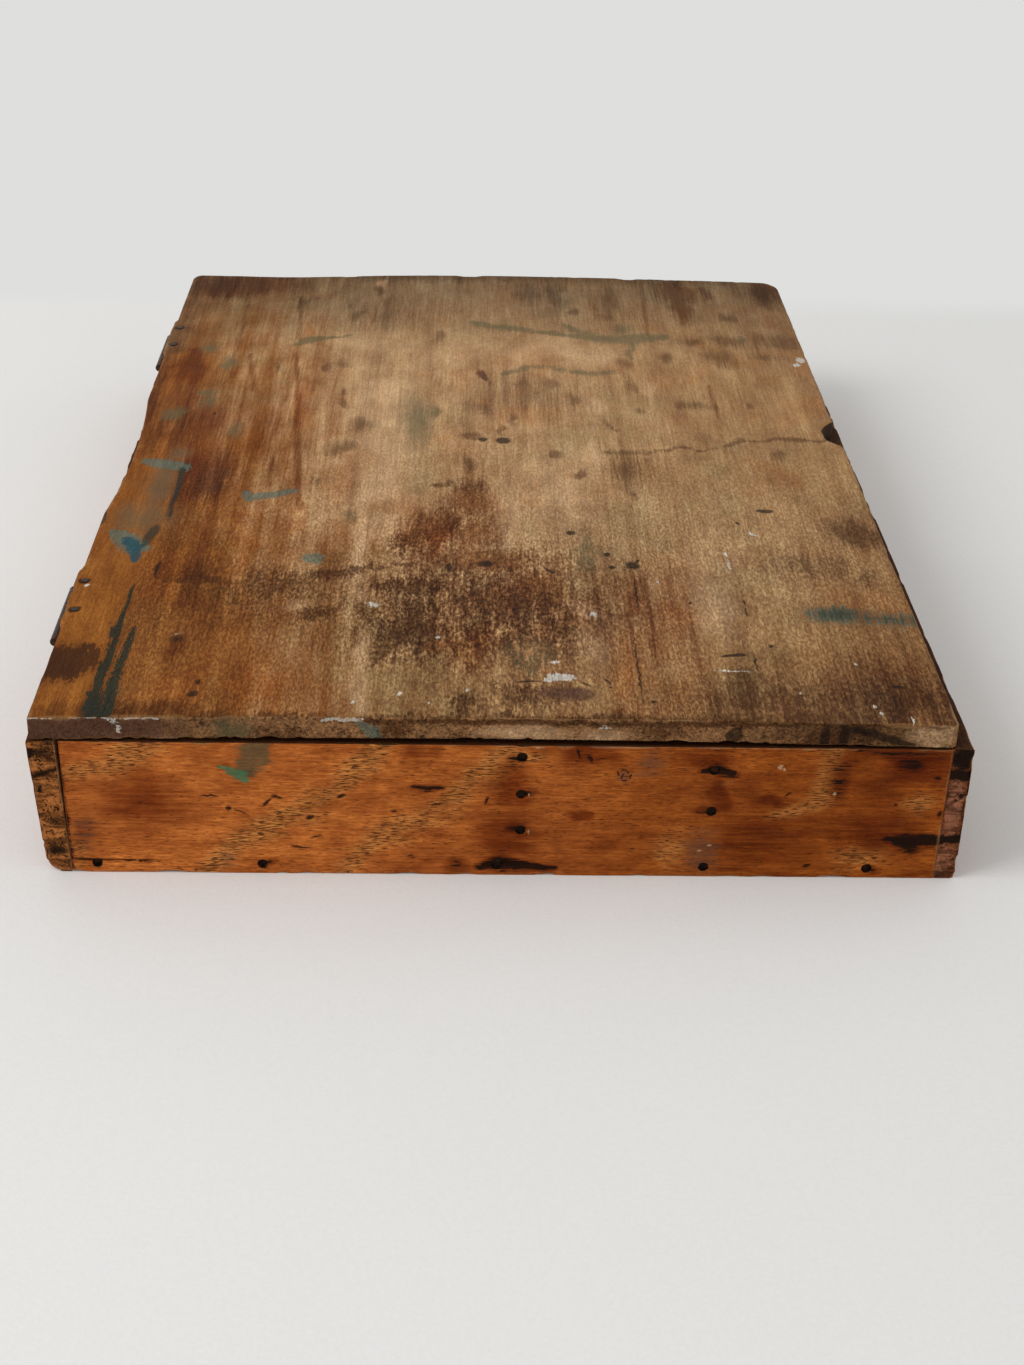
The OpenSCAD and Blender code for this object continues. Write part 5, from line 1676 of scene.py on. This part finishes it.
# %% Marks on the end grain of the sides
LEFT_END_BLACK = [
    Blot("torn hole", (-126, 38.4), (2.2, 1.3), 40, 1.6),
    Blot("pits at the top", (-122, 39), (5, 5), 0, 0.5),
    Stroke("row of pits", [(-126, 31), (-120, 33)], [1.8, 1.8], 0.55),
    Blot("pits", (-121, 17), (4, 3.4), 0, 0.4),
    Blot("pit", (-124.5, 27), (1.2, 1.6)),
    Blot("pits at the foot", (-122, 7), (4, 3), 0, 0.6),
]
RIGHT_END_BLACK = [
    Stroke("burn", [(119, 12.8), (127, 13.6)], [2.0, 1.0], 1.6),
    Stroke("upper burn", [(120, 34), (128, 34.4)], [1.8, 1.8], 1.4),
    # Painted shadow of the lid at the top of the right end grain.
    Blot("under the lid", (124.5, 39.5), (4.5, 5)),
    Blot("spot", (125.2, 27), (1.1, 1.1), 0, 1.5),
    Blot("outer rim", (127.4, 26), (1.2, 16), 0, 1.3),
]
RIGHT_END_ROSE = [
    Blot("middle", (123.6, 24), (2.6, 11), 0, 1.2),
    Blot("foot", (122.8, 6), (2.6, 6), 0, 0.6),
]
END_LAYERS = {
    LOW: {"black": (LEFT_END_BLACK, 0.6, 3.0), "rose": ([], 0.6, 3.0)},
    HIGH: {"black": (RIGHT_END_BLACK, 0.6, 3.0), "rose": (RIGHT_END_ROSE, 0.6, 3.0)},
}
print("marks on the end grain:", len(LEFT_END_BLACK + RIGHT_END_BLACK + RIGHT_END_ROSE))

# %% Marks on the outer faces of the sides
LEFT_FACE_LAYERS = varnish_layers(
    gold=[
        Stroke("front band", [(-160, 2), (-132, 18), (-104, 43)], [5, 6, 6], 0.9),
        Stroke("middle band", [(0, 2), (34, 20), (66, 43)], [5, 6, 6], 0.9),
        Blot("rear foot", (150, 10), (16, 8), 0, 0.7),
    ],
    red=[
        Blot("under the front hinge", (-108, 36), (26, 10), 0, 1.1),
        Blot("under the rear hinge", (106, 36), (26, 10), 0, 1.1),
        Blot("middle", (-40, 16), (46, 14), 0, 0.8),
        Blot("rear", (140, 24), (30, 14), 0, 0.7),
        Blot("worn hollow", (-6, 41), (40, 6), 0, 0.9),
    ],
    black=[
        Stroke("knock", [(-66, 27), (-52, 25)], [1.0, 1.3]),
        Stroke("foot", [(34, 3.2), (42, 3.6), (52, 2.8)], [1.0, 2.2, 1.0]),
        Blot("spot", (84, 17), (2.2, 1.4)),
        Blot("spot, front", (-150, 30), (1.8, 1.4)),
    ],
    violet=[Blot("haze", (20, 30), (12, 8), 0, 0.6)],
    green=[Stroke("drip", [(-30, 43), (-30.6, 34), (-30, 29)], [3.0, 2.2, 1.4])],
)
RIGHT_FACE_LAYERS = varnish_layers(
    gold=[
        Stroke("front band", [(-140, 43), (-112, 20), (-92, 2)], [5, 6, 5], 0.9),
        Stroke("rear band", [(70, 43), (96, 22), (122, 2)], [5, 6, 6], 0.8),
    ],
    red=[
        Blot("front", (-150, 24), (26, 18)),
        Blot("under the notch", (18, 32), (30, 14), 0, 1.2),
        Blot("rear", (140, 18), (34, 14), 0, 0.8),
        Blot("middle", (-50, 12), (44, 10), 0, 0.8),
    ],
    black=[
        Stroke("burn", [(-178, 13.4), (-166, 13), (-158, 13.6)], [2.2, 1.8, 0.9], 1.2),
        Stroke("finger grime", [(8, 41.5), (28, 41.5)], [1.6, 1.6], 0.8),
        Stroke("knock", [(60, 20), (72, 18)], [1.0, 1.2]),
        Blot("spot", (-84, 26), (2.2, 1.4)),
    ],
    violet=[Blot("haze", (-20, 26), (12, 8), 0, 0.6)],
    green=[Blot("dab", (112, 31), (7, 4), 12, 0.8)],
)
left_marks, right_marks = {}, {}
for marks, board, outside, layers, seed in (
    (left_marks, left_side, LOW, LEFT_FACE_LAYERS, 400),
    (right_marks, right_side, HIGH, RIGHT_FACE_LAYERS, 450),
):
    carry(marks, board, board.on(ALONG_X, outside), FACE_AXES["side"], layers, seed)
    carry(marks, board, board.on(ALONG_Y, LOW), FACE_AXES["front"], END_LAYERS[outside], seed + 60)
print("layers on a side:", ", ".join(left_marks))

# %% Finish of the sides
SIDE_BROWN = (0.360, 0.110, 0.026)
SIDE_DARK = (0.200, 0.055, 0.012)
LEFT_END_GOLD = (0.355, 0.122, 0.032)
RIGHT_END_BROWN = (0.150, 0.046, 0.017)
RIGHT_END_PINK = (0.260, 0.098, 0.050)
PIT_BLACK = (0.010, 0.005, 0.003)
SIDE_INSIDE_X = (121.5, 120.5)


def side_finish():
    finish = Finish("old_side_wood", roughness=0.6, gloss=0.05)
    end = finish.wear("end_grain")
    cloud = finish.noise((30, 80, 30), 4, 0.6)
    base = finish.mix(finish.band(cloud, 0.3, 0.7), SIDE_BROWN, SIDE_DARK)
    inside = finish.band(finish.x * finish.x, *(x * x for x in SIDE_INSIDE_X))
    base = finish.mix(inside, base, INNER_WOOD)
    colour, _, board, height = varnished(finish, ALONG_Y, base)
    right = finish.band(finish.x, -10, 10)
    pits = finish.noise((1.0, 6, 0.75), 4, 0.65, curl=0.8)
    rings = finish.noise((9, 40, 2.2), 2, 0.5, curl=1.0)
    black, rose = finish.wear("black"), finish.wear("rose")
    cut = finish.mix(right, LEFT_END_GOLD, RIGHT_END_BROWN)
    cut = finish.mix(finish.band(rose + (pits - 0.5) * 1.2, -0.1, 0.4), cut, RIGHT_END_PINK)
    cut = finish.shade(cut, 0.45 + 1.1 * finish.band(rings + (pits - 0.5) * 0.4, 0.32, 0.68))
    deep = finish.band(pits - 0.10 * black, 0.49, 0.40)
    cut = finish.mix((deep | finish.band(black + (pits - 0.5) * 1.5, 0.15, 0.5)) * 0.95, cut, PIT_BLACK)
    colour = finish.mix(end, colour, cut)
    colour = finish.mix(finish.wear("nailed"), colour, NAIL_BLACK)
    less = 0.3 * end
    colour = worn_arrises(finish, colour, board, 2.0, (0.85, 1.4), rubbed=0.4 - less, chipped=0.5 - less)
    # The tops of the sides, under the lid, are painted near-black: painted shade under the lid.
    colour = finish.mix(finish.wear("up") * 0.85, colour, SOOT_AND_SHADE)
    height = height + (pits - 0.5) * 0.9 * end
    return finish.out(Base_Color=colour, Roughness=0.55 + 0.3 * cloud, Height=height)


side_wood = side_finish()
piece("worn_left_side", left_side, side_wood, "box", "left_side", left_marks)
piece("worn_right_side", right_side, side_wood, "box", "right_side", right_marks)

# %% [markdown]
# ## Bottom and dividers
#
# Inside, the wood was never varnished. It has gone grey-brown, and pigment dust and spills from tubes lie
# on the bottom. The two dividers are thin boards that stand between the ends.

# %% Shape of bottom and dividers
def inner_board(node, step, seed):
    """A board inside the box, with rubbed arrises and a slightly uneven top."""
    low, high = node_box(node)
    board = Board(
        lines(low[0], high[0], step),
        lines(low[1], high[1], 2 * step),
        lines(low[2], high[2], step),
        grain=ALONG_Y,
    )
    board.round_arrises(0.4 + 0.2 * lumps(board.flat, (9, 18, 9), seed))
    board.sink(UPRIGHT, HIGH, 0.08 * (1 + lumps(board.flat, (14, 60, 9), seed + 1)))
    return board


bottom = inner_board("bottom_board", 2.2, 91)
depth_in = (bottom.flat[:, 1] - right_side.low[1]) / (right_side.high[1] - right_side.low[1])
share_right = (bottom.flat[:, 0] - bottom.low[0]) / (bottom.high[0] - bottom.low[0])
bottom.at[:, 0] -= share_right * BACK_NARROWING * (depth_in - depth_in.min())
centre_divider = inner_board("centre_divider", 1.3, 95)
right_divider = inner_board("right_divider", 1.3, 97)
for divider, seed in ((centre_divider, 98), (right_divider, 99)):
    for x, out in ((divider.low[0], -1), (divider.high[0], 1)):
        arris = (x, 0, divider.high[2]), (out, 0, 1)
        chips(divider, ALONG_Y, *arris, count=16, seed=seed + out, half=(2, 9))
print("bottom", len(bottom.quads), "quads, dividers", len(centre_divider.quads), "each")

# %% Spills on the bottom
PIGMENTS = {
    "umber": (0.050, 0.022, 0.010),
    "teal": (0.045, 0.100, 0.095),
    "earth_red": (0.170, 0.036, 0.020),
    "ochre": (0.300, 0.165, 0.035),
    "chalk": (0.460, 0.420, 0.360),
}
SPILLS = {
    "umber": ([
        Blot("long side", (-112, 0), (6, 150), 0, 0.6),
        Blot("front corner", (-100, -158), (20, 14), 0, 0.8),
        Blot("ring", (-60, 40), (16, 14), 0, 0.6),
        Blot("tube bed", (31, -60), (10, 70), 0, 0.7),
        Blot("far corner", (92, 150), (22, 20), 0, 0.8),
        Blot("run", (-20, -60), (5, 18), 20, 0.9),
        Blot("spots", (90, -30), (6, 7), 0, 0.9),
    ], 3.0, 10.0),
    "teal": ([
        Blot("dab", (-84, -92), (9, 5), 15, 1.0),
        Blot("smear", (30, 96), (5, 20), 0, 0.8),
    ], 1.5, 6.0),
    "earth_red": ([
        Blot("dab", (-34, 120), (11, 7), -20, 0.9),
        Blot("small", (98, -112), (6, 9), 0, 0.9),
    ], 1.5, 6.0),
    "ochre": ([
        Blot("smear", (-96, 128), (10, 22), 8, 0.8),
        Blot("small", (34, -136), (6, 5)),
    ], 1.5, 6.0),
    "chalk": ([
        Blot("dab", (-52, -20), (8, 4), 30, 1.0),
        Blot("small", (82, 60), (4, 7), 0, 0.9),
    ], 1.2, 5.0),
}
print("spills on the bottom:", sum(len(several) for several, _, _ in SPILLS.values()))

# %% Finish of the inside
BOTTOM_WOOD = (0.270, 0.150, 0.075)
DIVIDER_WOOD = (0.300, 0.165, 0.080)


def inside_finish(name, base):
    finish = Finish(name, roughness=0.8)
    board = wood(finish, ALONG_Y)
    colour = finish.shade(base, board.light)
    breaks = (board.fleck - 0.5) * 0.8 + (board.blotch - 0.5) * 1.6
    for layer, pigment in PIGMENTS.items():
        seen = finish.seen(finish.wear(layer), breaks, near=(-0.6, 0.1), rim=(-0.1, 0.6))
        colour = finish.mix(seen * 0.6, colour, finish.shade(pigment, 0.5 + 0.5 * board.light))
    dust = finish.noise(35, 4, 0.6)
    colour = finish.mix(finish.band(dust, 0.45, 0.75) * 0.5, colour, SPLOTCH_BROWN)
    colour = worn_arrises(finish, colour, board, patchy=2.0, rim=(0.8, 1.3), rubbed=0.4, chipped=0.5)
    colour = finish.mix(finish.wear("end_grain") * 0.5, colour, END_BROWN)
    return finish.out(Base_Color=colour, Roughness=0.7 + 0.2 * dust, Height=board.height)


bottom_marks = {}
carry(bottom_marks, bottom, bottom.on(UPRIGHT, HIGH), FACE_AXES["top"], SPILLS, 500)
bottom_wood = inside_finish("old_bottom_wood", BOTTOM_WOOD)
divider_wood = inside_finish("old_divider_wood", DIVIDER_WOOD)
piece("worn_bottom", bottom, bottom_wood, "box", "bottom_board", bottom_marks)
NO_SPILLS = {layer: ([], 0, 1) for layer in PIGMENTS}
for node, board in (("centre_divider", centre_divider), ("right_divider", right_divider)):
    divider_marks = {}
    carry(divider_marks, board, board.on(UPRIGHT, HIGH), FACE_AXES["top"], NO_SPILLS, 0)
    piece("worn_" + node, board, divider_wood, "box", node, divider_marks)

# %% [markdown]
# ## Iron
#
# Nails, hinges and screws keep their packed shapes, which are true to size. They only need the right skin:
# iron that has gone brown-black, with rust in scabs and a little bright metal where it rubs. Rust is rough
# and not metallic, so one mask drives the colour, the metal and the roughness together.

# %% Finish of the iron
BROWN_IRON = (0.055, 0.038, 0.030)
RUST = (0.130, 0.048, 0.020)
BRIGHT_IRON = (0.240, 0.215, 0.190)


def iron_finish(name, rusty, bright, dark=1.0):
    finish = Finish(name, roughness=0.5)
    scab = finish.noise(2.4, 4, 0.65)
    grit = finish.noise(0.35, 2, 0.6)
    rub = finish.noise((5, 3, 5), 3, 0.6)
    rust = finish.band(scab + (grit - 0.5) * 0.3, 0.62 - rusty, 0.72 - rusty)
    worn = finish.band(rub, 0.58, 0.75) * bright
    colour = finish.mix(worn, BROWN_IRON, BRIGHT_IRON)
    colour = finish.mix(rust, colour, finish.shade(RUST, 0.5 + grit))
    colour = finish.shade(colour, dark)
    metal = 0.8 - 0.8 * rust
    rough = 0.45 + 0.4 * rust + 0.2 * (grit - 0.5)
    return finish.out(Base_Color=colour, Metallic=metal, Roughness=rough, Height=0.12 * rust * grit)


IRON = {
    # Nail heads are darkened to a quarter: old dark iron, plus painted shade of heads that sit deep in
    # their holes.
    "nails": iron_finish("old_nail_iron", rusty=0.16, bright=0.2, dark=0.25),
    "leaf": iron_finish("old_hinge_iron", rusty=0.08, bright=0.5),
    "screws": iron_finish("old_screw_iron", rusty=0.05, bright=0.8),
}
IRON["pin"] = IRON["leaf"]
iron_nodes = [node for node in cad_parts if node.rsplit("_", 1)[-1] in IRON]
for node in iron_nodes:
    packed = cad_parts[node]
    packed.data.materials.clear()
    packed.data.materials.append(IRON[node.rsplit("_", 1)[-1]])
print("iron on", len(iron_nodes), "packed nodes")

# %% [markdown]
